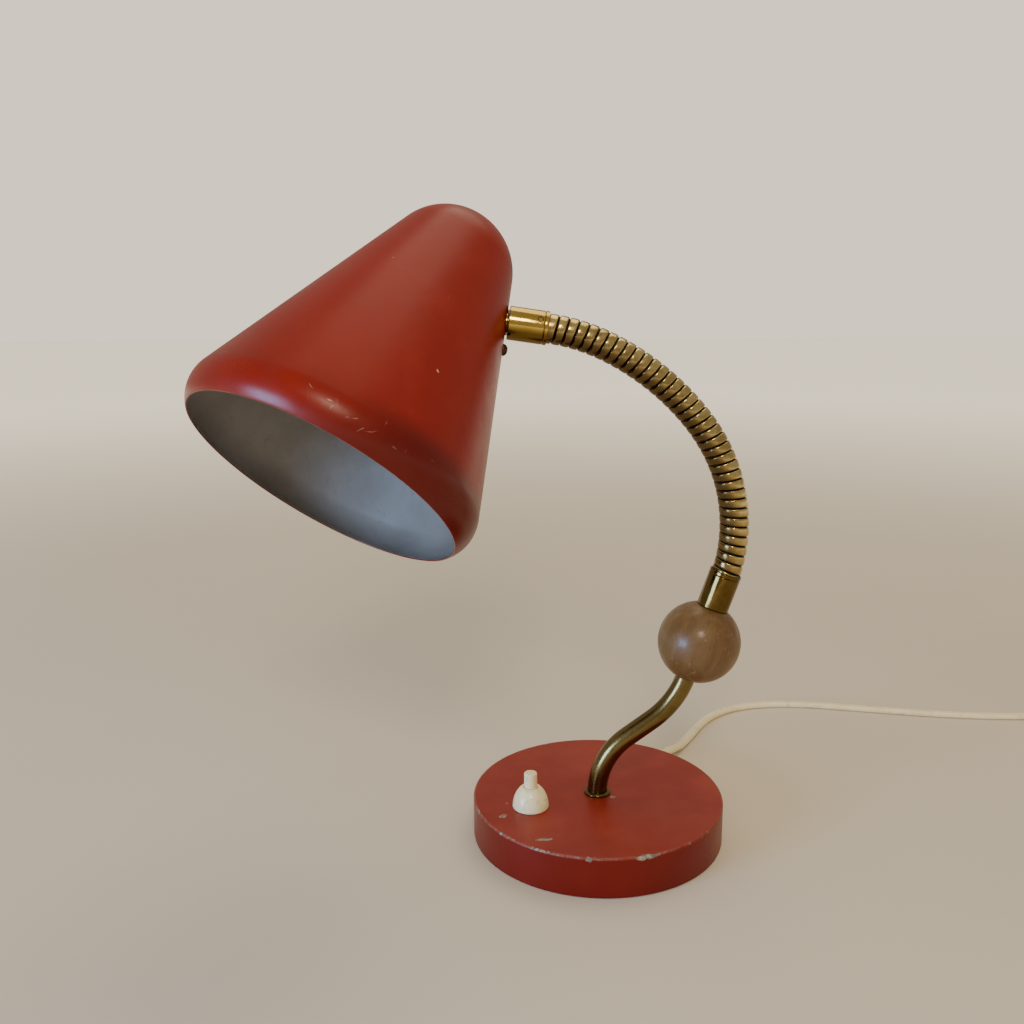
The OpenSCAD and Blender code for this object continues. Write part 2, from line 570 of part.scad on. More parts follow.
// flat section swept along the points p
module sweep(p, w, t) {
  n = len(p);
  m = 10;
  pts = [for (i = [0:n - 1]) let (d = tangent(p, i), s = unit(cross([0, 0, 1], d)), u = cross(d, s))
    for (k = [0:m - 1]) let (a = 360 * (k + 0.5) / m, c = cos(a), f = sin(a))
      p[i] + s * (sign(c) * (w - t) / 2 + c * t / 2) + u * (f * t / 2)];
  polyhedron(points = pts, faces = concat(
    [[for (k = [0:m - 1]) k]],
    [for (i = [0:n - 2]) for (k = [0:m - 1]) [i * m + k, (i + 1) * m + k, (i + 1) * m + (k + 1) % m]],
    [for (i = [0:n - 2]) for (k = [0:m - 1]) [i * m + k, (i + 1) * m + (k + 1) % m, i * m + (k + 1) % m]],
    [[for (k = [m - 1:-1:0]) (n - 1) * m + k]]));
}
module mains_cord() { color(IVORY) sweep(ROUTE, cord_w, cord_t); }
module cord_tail() { color(IVORY) sweep(TAIL, cord_w, cord_t); }
// outer shape of three layers of two turns each
module cord_coil() {
  color(IVORY) translate([coil_x, coil_y, 0]) rotate_extrude($fn = 120) translate([28.9, tie_t + 0.05]) square([12.6, 11.7]);
}
// band that holds the turns together
tie_t = 0.5;
module cord_tie() {
  color([0.15, 0.15, 0.16]) translate([coil_x, coil_y, 0]) rotate([0, 0, -100]) translate([28.85, 0, tie_t]) difference() {
    translate([-tie_t, -2.5, -tie_t]) cube([12.7 + 2 * tie_t, 5, 11.8 + 2 * tie_t]);
    translate([0, -4, 0]) cube([12.7, 8, 11.8]);
  }
}
plug_y = 76;
module plug_body() {
  color(IVORY) translate([396.8, plug_y, 7]) rotate([90, 0, 0]) {
    cylinder(h = 16, r1 = 3.6, r2 = 5.6, $fn = 48);
    translate([0, 0, 15.9]) linear_extrude(height = 36.1) polygon([[-6, -6.9], [6, -6.9], [11, -4.5], [13, 0], [11, 4.5], [6, 6.9], [-6, 6.9], [-11, 4.5], [-13, 0], [-11, -4.5]]);
  }
}
module plug_pins() {
  color(BRASS) for (s = [-1, 1]) translate([396.8 + s * 9, plug_y - 52, 7]) rotate([90, 0, 0]) {
    cylinder(h = 18, r = 2, $fn = 48);
    translate([0, 0, 18 - EPS]) cylinder(h = 1 + EPS, r1 = 2, r2 = 1.2, $fn = 48);
  }
}

base_shell();
base_weight();
base_plate();
felt_pad();
base_screws();
switch_dome();
switch_button();
switch_body();
switch_spring();
switch_terminals();
stem_collar();
stem_tube();
stem_washer();
stem_nut();
stem_lead();
cord_gland();
cord_inside();
cord_clamp();
connector_block();
connector_screws();
switch_leads();
wood_ball();
ball_nipple();
lower_ferrule();
neck_link_00();
neck_link_01();
neck_link_02();
neck_link_03();
neck_link_04();
neck_link_05();
neck_link_06();
neck_link_07();
neck_link_08();
neck_link_09();
neck_link_10();
neck_link_11();
neck_link_12();
upper_ferrule();
ferrule_screw();
shade_nipple();
shade_washer();
shade();
shade_nut();
holder_bracket();
shade_screw();
shade_screw_nut();
holder_nipple();
holder_nut();
holder_cap();
holder_shell();
holder_sleeve();
holder_lead();
bulb_glass();
bulb_cap();
mains_cord();
cord_coil();
cord_tie();
cord_tail();
plug_body();
plug_pins();
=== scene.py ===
import json
import math
import bpy
import bmesh
import numpy as np
from mathutils import Vector, Matrix, noise


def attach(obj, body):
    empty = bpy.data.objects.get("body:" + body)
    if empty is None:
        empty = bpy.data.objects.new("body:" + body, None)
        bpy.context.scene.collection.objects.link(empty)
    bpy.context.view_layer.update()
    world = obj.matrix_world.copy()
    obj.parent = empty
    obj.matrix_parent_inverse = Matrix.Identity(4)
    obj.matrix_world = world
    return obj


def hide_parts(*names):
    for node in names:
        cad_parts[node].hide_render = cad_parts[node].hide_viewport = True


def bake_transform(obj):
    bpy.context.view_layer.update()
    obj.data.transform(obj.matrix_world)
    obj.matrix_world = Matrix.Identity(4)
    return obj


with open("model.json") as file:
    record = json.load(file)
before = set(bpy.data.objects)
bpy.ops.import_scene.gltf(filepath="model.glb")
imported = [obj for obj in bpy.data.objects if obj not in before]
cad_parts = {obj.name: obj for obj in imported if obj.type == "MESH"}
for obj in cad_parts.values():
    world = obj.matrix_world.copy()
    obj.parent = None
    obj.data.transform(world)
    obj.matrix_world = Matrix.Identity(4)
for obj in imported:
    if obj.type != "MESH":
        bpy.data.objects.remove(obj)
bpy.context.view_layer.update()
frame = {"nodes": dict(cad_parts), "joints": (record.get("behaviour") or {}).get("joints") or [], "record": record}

NODES = frame["nodes"]
JOINTS = {j["name"]: j for j in frame["joints"]}
scene = bpy.context.scene
MM = 0.001

# ------------------------------------------------------------------ camera
cam_data = bpy.data.cameras.new("camera")
cam_data.lens = 36.0
cam_data.sensor_width = 36.0
cam_data.clip_start = 0.01
cam = bpy.data.objects.new("camera", cam_data)
scene.collection.objects.link(cam)
F = Vector((0.0, 0.97726812, -0.21200711))
R = Vector((0.99998341, -0.00122107, -0.00562863))
U = Vector((0.00575955, 0.21200359, 0.97725191))
cam.matrix_world = Matrix((
    (R.x, U.x, -F.x, -0.0474),
    (R.y, U.y, -F.y, -0.5337),
    (R.z, U.z, -F.z, 0.3011),
    (0, 0, 0, 1)))
scene.camera = cam


# ------------------------------------------------------------------ mesh helpers
def new_object(name, verts, faces, smooth=True):
    me = bpy.data.meshes.new(name)
    me.from_pydata([tuple(v) for v in verts], [], faces)
    me.validate()
    me.update()
    if smooth:
        me.polygons.foreach_set("use_smooth", [True] * len(me.polygons))
    ob = bpy.data.objects.new(name, me)
    scene.collection.objects.link(ob)
    return ob


def lathe(name, profile, matrix=None, seg=128, closed=False):
    """profile: list of (r, z) in metres; r = 0 makes a pole. closed joins the last point to the first."""
    verts, rows, faces = [], [], []
    for r, z in profile:
        if r < 1e-9:
            rows.append([len(verts)])
            verts.append((0, 0, z))
        else:
            rows.append(list(range(len(verts), len(verts) + seg)))
            for k in range(seg):
                a = 2 * math.pi * k / seg
                verts.append((r * math.cos(a), r * math.sin(a), z))
    pairs = list(zip(rows[:-1], rows[1:]))
    if closed:
        pairs.append((rows[-1], rows[0]))
    for lo, hi in pairs:
        for k in range(seg):
            k2 = (k + 1) % seg
            if len(lo) == 1 and len(hi) == 1:
                continue
            if len(lo) == 1:
                faces.append((lo[0], hi[k2], hi[k]))
            elif len(hi) == 1:
                faces.append((lo[k], lo[k2], hi[0]))
            else:
                faces.append((lo[k], lo[k2], hi[k2], hi[k]))
    if matrix is not None:
        verts = [matrix @ Vector(v) for v in verts]
    ob = new_object(name, verts, faces)
    fix_normals(ob)
    return ob


def fix_normals(ob):
    bm = bmesh.new()
    bm.from_mesh(ob.data)
    bmesh.ops.recalc_face_normals(bm, faces=bm.faces)
    bm.to_mesh(ob.data)
    bm.free()
    ob.data.update()


def fillet(points, radii, n=5):
    """rounds the corners of an open or closed (r, z) profile; radii per point"""
    out = []
    m = len(points)
    for i in range(m):
        p = Vector(points[i])
        r = radii[i]
        if r <= 0:
            out.append(tuple(p))
            continue
        a = Vector(points[(i - 1) % m]) - p
        b = Vector(points[(i + 1) % m]) - p
        la, lb = a.length, b.length
        a.normalize(); b.normalize()
        ang = a.angle(b)
        t = min(r / math.tan(ang / 2), 0.48 * la, 0.48 * lb)
        s, e = p + a * t, p + b * t
        for k in range(n + 1):
            w = k / n
            q = s * (1 - w) ** 2 + p * 2 * w * (1 - w) + e * w * w
            out.append(tuple(q))
    return out


def sharp(ob, angle=35):
    """smooth shading, with edges sharper than angle kept crisp"""
    me = ob.data
    me.polygons.foreach_set("use_smooth", [True] * len(me.polygons))
    bm = bmesh.new()
    bm.from_mesh(me)
    lim = math.radians(angle)
    for e in bm.edges:
        e.smooth = not (len(e.link_faces) != 2 or e.calc_face_angle(0) > lim)
    bm.to_mesh(me)
    bm.free()


def frames_along(pts, up=Vector((0, 1, 0))):
    out = []
    for i, p in enumerate(pts):
        d = (pts[min(i + 1, len(pts) - 1)] - pts[max(i - 1, 0)]).normalized()
        s = up.cross(d).normalized()
        out.append((p, d, s, d.cross(s)))
    return out


def sweep(name, pts, radius, seg=24, up=Vector((0, 1, 0)), radii=None, cap=True):
    fr = frames_along(pts, up)
    verts, faces = [], []
    for i, (p, d, s, u) in enumerate(fr):
        r = radii[i] if radii else radius
        for k in range(seg):
            a = 2 * math.pi * k / seg
            verts.append(p + s * (r * math.cos(a)) + u * (r * math.sin(a)))
    n = len(pts)
    for i in range(n - 1):
        for k in range(seg):
            k2 = (k + 1) % seg
            faces.append((i * seg + k, i * seg + k2, (i + 1) * seg + k2, (i + 1) * seg + k))
    if cap:
        faces.append(tuple(range(seg))[::-1])
        faces.append(tuple((n - 1) * seg + k for k in range(seg)))
    ob = new_object(name, verts, faces)
    fix_normals(ob)
    return ob


# ------------------------------------------------------------------ material helpers
class Mat:
    def __init__(self, name):
        self.m = bpy.data.materials.new(name)
        self.m.use_nodes = True
        self.nt = self.m.node_tree
        self.nt.nodes.clear()
        self.out = self.n("ShaderNodeOutputMaterial")
        self.p = self.n("ShaderNodeBsdfPrincipled")
        self.l(self.p.outputs[0], self.out.inputs[0])
        self.tc = self.n("ShaderNodeTexCoord").outputs["Object"]

    def n(self, kind, **kw):
        nd = self.nt.nodes.new(kind)
        for k, v in kw.items():
            setattr(nd, k, v)
        return nd

    def l(self, a, b):
        self.nt.links.new(a, b)

    def put(self, sock, v):
        if hasattr(v, "links") or isinstance(v, bpy.types.NodeSocket):
            self.l(v, sock)
        else:
            if isinstance(v, tuple) and len(v) == 3 and sock.type == "RGBA":
                v = (*v, 1)
            sock.default_value = v

    def map(self, scale=(1, 1, 1), loc=(0, 0, 0), rot=(0, 0, 0), src=None):
        nd = self.n("ShaderNodeMapping")
        self.l(src or self.tc, nd.inputs[0])
        nd.inputs[1].default_value = loc
        nd.inputs[2].default_value = rot
        nd.inputs[3].default_value = scale
        return nd.outputs[0]

    def noise(self, scale, detail=3, rough=0.5, vec=None, dist=0.0):
        nd = self.n("ShaderNodeTexNoise")
        self.l(vec or self.tc, nd.inputs["Vector"])
        nd.inputs["Scale"].default_value = scale
        nd.inputs["Detail"].default_value = detail
        nd.inputs["Roughness"].default_value = rough
        nd.inputs["Distortion"].default_value = dist
        return nd.outputs[0]

    def voronoi(self, scale, vec=None, feature="F1"):
        nd = self.n("ShaderNodeTexVoronoi", feature=feature)
        self.l(vec or self.tc, nd.inputs["Vector"])
        nd.inputs["Scale"].default_value = scale
        return nd.outputs[0]

    def ramp(self, fac, lo, hi, a=0.0, b=1.0):
        nd = self.n("ShaderNodeMapRange")
        nd.interpolation_type = "SMOOTHSTEP"
        self.put(nd.inputs[0], fac)
        nd.inputs[1].default_value = lo
        nd.inputs[2].default_value = hi
        nd.inputs[3].default_value = a
        nd.inputs[4].default_value = b
        return nd.outputs[0]

    def math(self, op, a, b=0.0, c=0.0):
        nd = self.n("ShaderNodeMath", operation=op)
        self.put(nd.inputs[0], a)
        self.put(nd.inputs[1], b)
        if len(nd.inputs) > 2:
            self.put(nd.inputs[2], c)
        return nd.outputs[0]

    def mix(self, fac, a, b):
        nd = self.n("ShaderNodeMix", data_type="RGBA")
        self.put(nd.inputs[0], fac)
        self.put(nd.inputs[6], a)
        self.put(nd.inputs[7], b)
        return nd.outputs[2]

    def xyz(self, vec=None):
        nd = self.n("ShaderNodeSeparateXYZ")
        self.l(vec or self.tc, nd.inputs[0])
        return nd.outputs

    def dist(self, point, scale=(1, 1, 1), warp=None, rot=(0, 0, 0)):
        """distance from a point in the object's frame, each axis scaled"""
        src = self.tc
        if warp is not None:
            add = self.n("ShaderNodeVectorMath", operation="ADD")
            self.l(src, add.inputs[0])
            self.l(warp, add.inputs[1])
            src = add.outputs[0]
        sub = self.n("ShaderNodeVectorMath", operation="SUBTRACT")
        self.l(src, sub.inputs[0])
        sub.inputs[1].default_value = point
        if rot != (0, 0, 0):
            ro = self.n("ShaderNodeVectorRotate", rotation_type="EULER_XYZ")
            self.l(sub.outputs[0], ro.inputs[0])
            ro.inputs["Rotation"].default_value = rot
            v = ro.outputs[0]
        else:
            v = sub.outputs[0]
        mul = self.n("ShaderNodeVectorMath", operation="MULTIPLY")
        self.l(v, mul.inputs[0])
        mul.inputs[1].default_value = scale
        ln = self.n("ShaderNodeVectorMath", operation="LENGTH")
        self.l(mul.outputs[0], ln.inputs[0])
        return ln.outputs["Value"]

    def mark(self, a, b, width, warp=None):
        """0 on a thin line from a to b, growing with distance; 1 at its edge"""
        a, b = Vector(a), Vector(b)
        half = max((b - a).length / 2, 1e-5)
        src = self.tc
        if warp is not None:
            add = self.n("ShaderNodeVectorMath", operation="ADD")
            self.l(src, add.inputs[0])
            self.l(warp, add.inputs[1])
            src = add.outputs[0]
        sub = self.n("ShaderNodeVectorMath", operation="SUBTRACT")
        self.l(src, sub.inputs[0])
        sub.inputs[1].default_value = (a + b) / 2
        dot = self.n("ShaderNodeVectorMath", operation="DOT_PRODUCT")
        self.l(sub.outputs[0], dot.inputs[0])
        dot.inputs[1].default_value = (b - a).normalized()
        d2 = self.n("ShaderNodeVectorMath", operation="DOT_PRODUCT")
        self.l(sub.outputs[0], d2.inputs[0])
        self.l(sub.outputs[0], d2.inputs[1])
        al = self.math("MULTIPLY", dot.outputs["Value"], dot.outputs["Value"])
        pe = self.math("MAXIMUM", self.math("SUBTRACT", d2.outputs["Value"], al), 0.0)
        v = self.math("ADD", self.math("DIVIDE", pe, width * width), self.math("DIVIDE", al, half * half))
        return self.math("POWER", v, 0.5)

    def facing(self, direction, lo, hi):
        """0..1 by how far the object's own surface faces a direction of its frame"""
        tc = self.n("ShaderNodeTexCoord").outputs["Normal"]
        dot = self.n("ShaderNodeVectorMath", operation="DOT_PRODUCT")
        self.l(tc, dot.inputs[0])
        dot.inputs[1].default_value = Vector(direction).normalized()
        return self.ramp(dot.outputs["Value"], lo, hi)

    def warp(self, scale, amount):
        nd = self.n("ShaderNodeTexNoise")
        self.l(self.tc, nd.inputs["Vector"])
        nd.inputs["Scale"].default_value = scale
        nd.inputs["Detail"].default_value = 3
        sub = self.n("ShaderNodeVectorMath", operation="SUBTRACT")
        self.l(nd.outputs[1], sub.inputs[0])
        sub.inputs[1].default_value = (0.5, 0.5, 0.5)
        sc = self.n("ShaderNodeVectorMath", operation="SCALE")
        self.l(sub.outputs[0], sc.inputs[0])
        sc.inputs["Scale"].default_value = amount
        return sc.outputs[0]

    def bump(self, height, strength=0.2, distance=0.0005, normal=None):
        nd = self.n("ShaderNodeBump")
        nd.inputs["Strength"].default_value = strength
        nd.inputs["Distance"].default_value = distance
        self.put(nd.inputs["Height"], height)
        if normal is not None:
            self.l(normal, nd.inputs["Normal"])
        return nd.outputs[0]

    def set(self, **kw):
        names = {"color": "Base Color", "rough": "Roughness", "metal": "Metallic", "coat": "Coat Weight",
                 "coat_rough": "Coat Roughness", "normal": "Normal", "spec": "Specular IOR Level",
                 "aniso": "Anisotropic", "trans": "Transmission Weight", "ior": "IOR",
                 "sss": "Subsurface Weight", "sss_radius": "Subsurface Radius", "sss_scale": "Subsurface Scale",
                 "sheen": "Sheen Weight", "emit": "Emission Color", "emit_s": "Emission Strength"}
        for k, v in kw.items():
            self.put(self.p.inputs[names[k]], v)
        return self.m


def red_lacquer(name, kind):
    m = Mat(name)
    big = m.noise(14, 3, 0.5)
    mid = m.noise(60, 4, 0.6)
    fine = m.noise(900, 2, 0.6)
    col = m.mix(m.ramp(big, 0.35, 0.68), (0.205, 0.0070, 0.0022), (0.240, 0.0095, 0.0032))
    col = m.mix(m.math("MULTIPLY", m.ramp(mid, 0.45, 0.75), 0.35), col, (0.275, 0.0170, 0.0070))
    # faint dark specks of dirt in the lacquer
    speck = m.ramp(m.voronoi(420), 0.04, 0.10, 1.0, 0.0)
    speck = m.math("MULTIPLY", speck, m.ramp(m.noise(40, 2), 0.52, 0.62))
    col = m.mix(m.math("MULTIPLY", speck, 0.35), col, (0.07, 0.004, 0.002))
    rough = m.math("ADD", m.ramp(mid, 0.3, 0.8, 0.33, 0.43), m.ramp(fine, 0.3, 0.8, -0.02, 0.03))
    # a warped copy of the coordinates, which nothing below uses
    w = m.warp(18, 0.03)
    add = m.n("ShaderNodeVectorMath", operation="ADD")
    m.l(m.tc, add.inputs[0]); m.l(w, add.inputs[1])
    chip = 0.0
    if kind == "base":
        wp = m.warp(420, 0.0035)
        spots = [((-0.0320, -0.0509, 0.0225), (1 / 4.6, 1 / 1.35, 0.15), 0.12),
                 ((-0.0530, -0.0263, 0.0225), (1 / 2.5, 1 / 1.2, 0.15), 0.5),
                 ((-0.0511, -0.0120, 0.0225), (1 / 1.0, 1 / 0.8, 0.15), 0.0),
                 ((0.0078, -0.0058, 0.0225), (1 / 1.7, 1 / 1.3, 0.15), 0.0),
                 ((0.0200, -0.0672, 0.0223), (1 / 7.5, 1 / 1.6, 0.6), 0.28),
                 ((-0.0100, -0.0692, 0.0218), (1 / 1.6, 1 / 1.0, 0.8), 0.0),
                 ((-0.0540, -0.0440, 0.0222), (1 / 1.5, 1 / 1.0, 0.8), 0.0),
                 ((-0.0275, 0.0638, 0.0222), (1 / 2.2, 1 / 1.1, 0.6), 0.4)]
        chips = None
        for p, s, rz in spots:
            d = m.dist(p, tuple(1000 * c for c in s), wp, (0, 0, -rz))
            k = m.ramp(d, 0.85, 1.1, 1.0, 0.0)
            chips = k if chips is None else m.math("MAXIMUM", chips, k)
        # worn top edge: breaks along the rim
        x, y, z = m.xyz()
        rr = m.math("POWER", m.math("ADD", m.math("MULTIPLY", x, x), m.math("MULTIPLY", y, y)), 0.5)
        edge_r = m.ramp(rr, 0.0686, 0.0694)
        edge_z = m.ramp(z, 0.0212, 0.0219)
        edge = m.math("MULTIPLY", edge_r, edge_z)
        worn = m.ramp(m.noise(95, 5, 0.75), 0.545, 0.60)
        worn2 = m.ramp(m.noise(330, 3, 0.7), 0.60, 0.66)
        left = m.ramp(x, -0.02, 0.03, 1.0, 0.45)
        rim = m.math("MULTIPLY", edge, m.math("MULTIPLY", m.math("MAXIMUM", m.math("MAXIMUM", worn, m.math("MULTIPLY", worn2, 0.8)), 0.22), left))
        chips = m.math("MAXIMUM", chips, rim)
        # a few pinholes on the top
        pin = m.ramp(m.voronoi(75), 0.018, 0.03, 1.0, 0.0)
        pin = m.math("MULTIPLY", pin, m.ramp(m.noise(23, 2), 0.55, 0.6))
        chips = m.math("MAXIMUM", chips, m.math("MULTIPLY", pin, 0.7))
        # thin pale scuffs
        scuff = m.ramp(m.noise(1.0, 4, 0.6, m.map((35, 900, 100), rot=(0, 0, 0.5))), 0.66, 0.70)
        scuff = m.math("MULTIPLY", scuff, m.ramp(m.noise(30, 2), 0.52, 0.62))
        col = m.mix(m.math("MULTIPLY", scuff, 0.22), col, (0.36, 0.075, 0.045))
        # dull dust and wipe marks on the top face, which also lighten the top as painted light
        top = m.ramp(z, 0.0222, 0.02245)
        dust_and_top_light = m.math("MULTIPLY", top, m.ramp(m.noise(26, 4, 0.6), 0.4, 0.7, 0.16, 0.34))
        col = m.mix(dust_and_top_light, col, (0.40, 0.075, 0.046))
        # painted shade: the side wall below the top face is darkened
        col = m.mix(m.ramp(z, 0.0212, 0.0220, 0.55, 0.0), col, (0.10, 0.0015, 0.0006))
        metal_col = m.mix(m.ramp(m.noise(700, 2), 0.4, 0.6), (0.36, 0.32, 0.25), (0.17, 0.13, 0.095))
        col = m.mix(chips, col, metal_col)
        rough = m.math("ADD", rough, m.math("MULTIPLY", chips, 0.15))
        h = m.math("SUBTRACT", m.math("MULTIPLY", fine, 0.12), m.math("MULTIPLY", chips, 0.5))
    else:
        # scratches and nicks on the lower front shoulder, in the shade's own frame
        tcs = m.n("ShaderNodeAttribute", attribute_name="shade_t")
        t = tcs.outputs["Fac"]
        band = m.ramp(t, 0.138, 0.150)
        nick = m.ramp(m.voronoi(165), 0.030, 0.050, 1.0, 0.0)
        nick = m.math("MULTIPLY", nick, m.ramp(m.noise(42, 3), 0.53, 0.60))
        hair = m.ramp(m.noise(1.0, 3, 0.6, m.map((520, 42, 60), rot=(0.5, 0.3, 0.9))), 0.675, 0.70)
        hair = m.math("MULTIPLY", hair, m.ramp(m.noise(36, 2), 0.50, 0.60))
        hair2 = m.ramp(m.noise(1.0, 3, 0.6, m.map((40, 60, 600), rot=(0.2, 0.9, 0.1))), 0.70, 0.72)
        hair2 = m.math("MULTIPLY", hair2, m.ramp(m.noise(21, 2), 0.55, 0.62))
        marks = m.math("MULTIPLY", m.math("MAXIMUM", nick, m.math("MULTIPLY", hair, 0.12)), band)
        few = m.ramp(m.voronoi(60), 0.014, 0.024, 1.0, 0.0)
        few = m.math("MULTIPLY", few, m.ramp(m.noise(17, 2), 0.54, 0.60))
        marks = m.math("MAXIMUM", marks, m.math("MULTIPLY", few, 0.75))
        marks = m.math("MAXIMUM", marks, m.math("MULTIPLY", hair2, 0.12))
        wp = m.warp(160, 0.0030)
        cuts = [((-0.1304, -0.1103, 0.2638), (-0.1284, -0.1117, 0.2617), 0.00026, 0.55),
                ((-0.1233, -0.1131, 0.2584), (-0.1206, -0.1135, 0.2569), 0.00030, 1.05),
                ((-0.1204, -0.1141, 0.2556), (-0.1219, -0.1150, 0.2534), 0.00024, 0.70),
                ((-0.1157, -0.1151, 0.2507), (-0.1096, -0.1138, 0.2501), 0.00025, 0.75),
                ((-0.1107, -0.1154, 0.2444), (-0.1052, -0.1134, 0.2468), 0.00026, 0.85),
                ((-0.1083, -0.1150, 0.2441), (-0.1026, -0.1131, 0.2447), 0.00025, 0.80),
                ((-0.1009, -0.1129, 0.2426), (-0.0993, -0.1093, 0.2485), 0.00024, 0.70),
                ((-0.0983, -0.1125, 0.2388), (-0.0953, -0.1114, 0.2368), 0.00032, 1.10),
                ((-0.0948, -0.1110, 0.2379), (-0.0918, -0.1090, 0.2385), 0.00026, 0.85),
                ((-0.0918, -0.1098, 0.2347), (-0.0909, -0.1090, 0.2364), 0.00030, 0.95),
                ((-0.0802, -0.0762, 0.2671), (-0.0799, -0.0771, 0.2654), 0.00055, 1.33),
                ((-0.0767, -0.0471, 0.2992), (-0.0759, -0.0481, 0.2972), 0.00030, 0.50),
                ((-0.0819, -0.1027, 0.2312), (-0.0810, -0.1022, 0.2299), 0.00036, 0.80),
                ((-0.1080, -0.0300, 0.1960), (-0.1040, -0.0270, 0.1975), 0.00028, 0.80),
                ((-0.1480, 0.0350, 0.2550), (-0.1450, 0.0370, 0.2600), 0.00026, 0.85)]
        for a, b, wd, st in cuts:
            k = m.ramp(m.mark(a, b, wd, wp), 0.75, 1.15, 1.0, 0.0)
            marks = m.math("MAXIMUM", marks, m.math("MULTIPLY", k, st))
        col = m.mix(m.math("MULTIPLY", marks, 0.75), col, (0.62, 0.36, 0.24))
        # rubbed and slightly shinier at the shoulder; its lower front is darkened as painted shade, with patchy
        # darkening along the band
        rough = m.math("SUBTRACT", rough, m.math("MULTIPLY", band, 0.05))
        sx, sy, sz = m.xyz()
        under = m.math("MULTIPLY", band, m.ramp(sz, 0.236, 0.268, 0.80, 0.0))
        under = m.math("MAXIMUM", under, m.math("MULTIPLY", band, m.ramp(m.noise(30, 3), 0.4, 0.7, 0.0, 0.30)))
        col = m.mix(under, col, (0.085, 0.0022, 0.0008))
        # bare lip
        lip = m.ramp(t, 0.1661, 0.1663)
        lip = m.math("MULTIPLY", lip, m.ramp(m.noise(120, 4, 0.7), 0.40, 0.55, 0.35, 1.0))
        col = m.mix(m.math("MULTIPLY", lip, 0.7), col, (0.42, 0.28, 0.20))
        h = m.math("SUBTRACT", m.math("MULTIPLY", fine, 0.12), m.math("MULTIPLY", marks, 0.4))
    peel = m.noise(330, 2, 0.4)
    normal = m.bump(h, 0.25, 0.0004, m.bump(peel, 0.05, 0.0006))
    return m.set(color=col, rough=rough, spec=0.28, normal=normal, coat=0.03, coat_rough=0.22)


def metal(name, dark, light, rough=(0.2, 0.35), scale=60, tarnish=None, t_amount=0.5, brush=None, bump=0.04, speck=None, under=None):
    m = Mat(name)
    a = m.noise(scale, 4, 0.6)
    col = m.mix(m.ramp(a, 0.3, 0.7), dark, light)
    fine = m.noise(scale * 14, 3, 0.6)
    if tarnish:
        k = m.math("MULTIPLY", m.ramp(m.noise(scale * 0.5, 5, 0.7), 0.45, 0.7), t_amount)
        col = m.mix(k, col, tarnish)
    if speck:
        s = m.math("MULTIPLY", m.ramp(m.voronoi(scale * 12), 0.10, 0.2, 1, 0), m.ramp(m.noise(scale * 2.2, 2), 0.5, 0.6))
        col = m.mix(m.math("MULTIPLY", s, 0.7), col, speck)
    # painted shade: faces turned away from the given direction are darkened
    if under:
        col = m.mix(m.math("MULTIPLY", m.facing(under[0], 0.10, -0.45), under[1]), col, under[2])
    rg = m.ramp(m.math("ADD", m.math("MULTIPLY", a, 0.5), m.math("MULTIPLY", fine, 0.5)), 0.3, 0.7, rough[0], rough[1])
    h = fine
    if brush:
        h = m.noise(1.0, 3, 0.6, m.map(brush))
    return m.set(color=col, metal=1.0, rough=rg, normal=m.bump(h, bump, 0.0003))


def plastic(name, base, dark, rough=(0.25, 0.4), sss=0.0, dirt=None, scale=80, coat=0.0, bump=0.03):
    m = Mat(name)
    a = m.noise(scale, 4, 0.6)
    col = m.mix(m.ramp(a, 0.35, 0.7), base, dark)
    if dirt:
        d = m.math("MULTIPLY", m.ramp(m.noise(scale * 2.3, 5, 0.7), 0.52, 0.7), 0.5)
        col = m.mix(d, col, dirt)
    rg = m.ramp(m.noise(scale * 3, 3), 0.3, 0.7, rough[0], rough[1])
    kw = dict(color=col, rough=rg, normal=m.bump(m.noise(scale * 9, 3), bump, 0.0003), coat=coat)
    if sss:
        kw.update(sss=sss, sss_radius=(0.003, 0.002, 0.0012), sss_scale=1.0)
    return m.set(**kw)


M = {}
M["red_base"] = red_lacquer("red_base", "base")
M["red_shade"] = red_lacquer("red_shade", "shade")
M["aged_brass"] = metal("aged_brass", (0.125, 0.088, 0.030), (0.235, 0.172, 0.066), (0.16, 0.28), 45, (0.070, 0.048, 0.020), 0.5, bump=0.015, speck=(0.20, 0.15, 0.07))
# painted shade: the upper ferrule's downward faces are darkened through the under argument
M["polished_brass"] = metal("polished_brass", (0.50, 0.345, 0.075), (0.66, 0.480, 0.125), (0.10, 0.18), 80, (0.22, 0.135, 0.034), 0.4, speck=(0.09, 0.055, 0.018), under=((0, 0, 1), 0.85, (0.085, 0.042, 0.008)))
# painted shade: the lower ferrule's brass is made far darker than the upper ferrule's polished brass; its tarnish and
# specks are the metal's own
M["ferrule_brass"] = metal("ferrule_brass", (0.105, 0.064, 0.017), (0.180, 0.120, 0.038), (0.08, 0.16), 80, (0.080, 0.046, 0.012), 0.5, speck=(0.26, 0.18, 0.07))
M["dark_bronze"] = metal("dark_bronze", (0.035, 0.022, 0.015), (0.10, 0.062, 0.036), (0.35, 0.5), 200)
M["zinc_steel"] = metal("zinc_steel", (0.42, 0.42, 0.41), (0.60, 0.60, 0.58), (0.3, 0.45), 120, (0.25, 0.22, 0.17), 0.3)
M["cap_metal"] = metal("cap_metal", (0.55, 0.55, 0.55), (0.72, 0.72, 0.72), (0.25, 0.4), 150)
M["cast_iron"] = metal("cast_iron", (0.05, 0.048, 0.045), (0.11, 0.105, 0.10), (0.55, 0.75), 160, (0.12, 0.05, 0.02), 0.4, bump=0.35)
M["ivory_plastic"] = plastic("ivory_plastic", (1.0, 0.89, 0.54), (0.95, 0.81, 0.45), (0.24, 0.36), 0.12, (0.50, 0.40, 0.26), 110, coat=0.15)
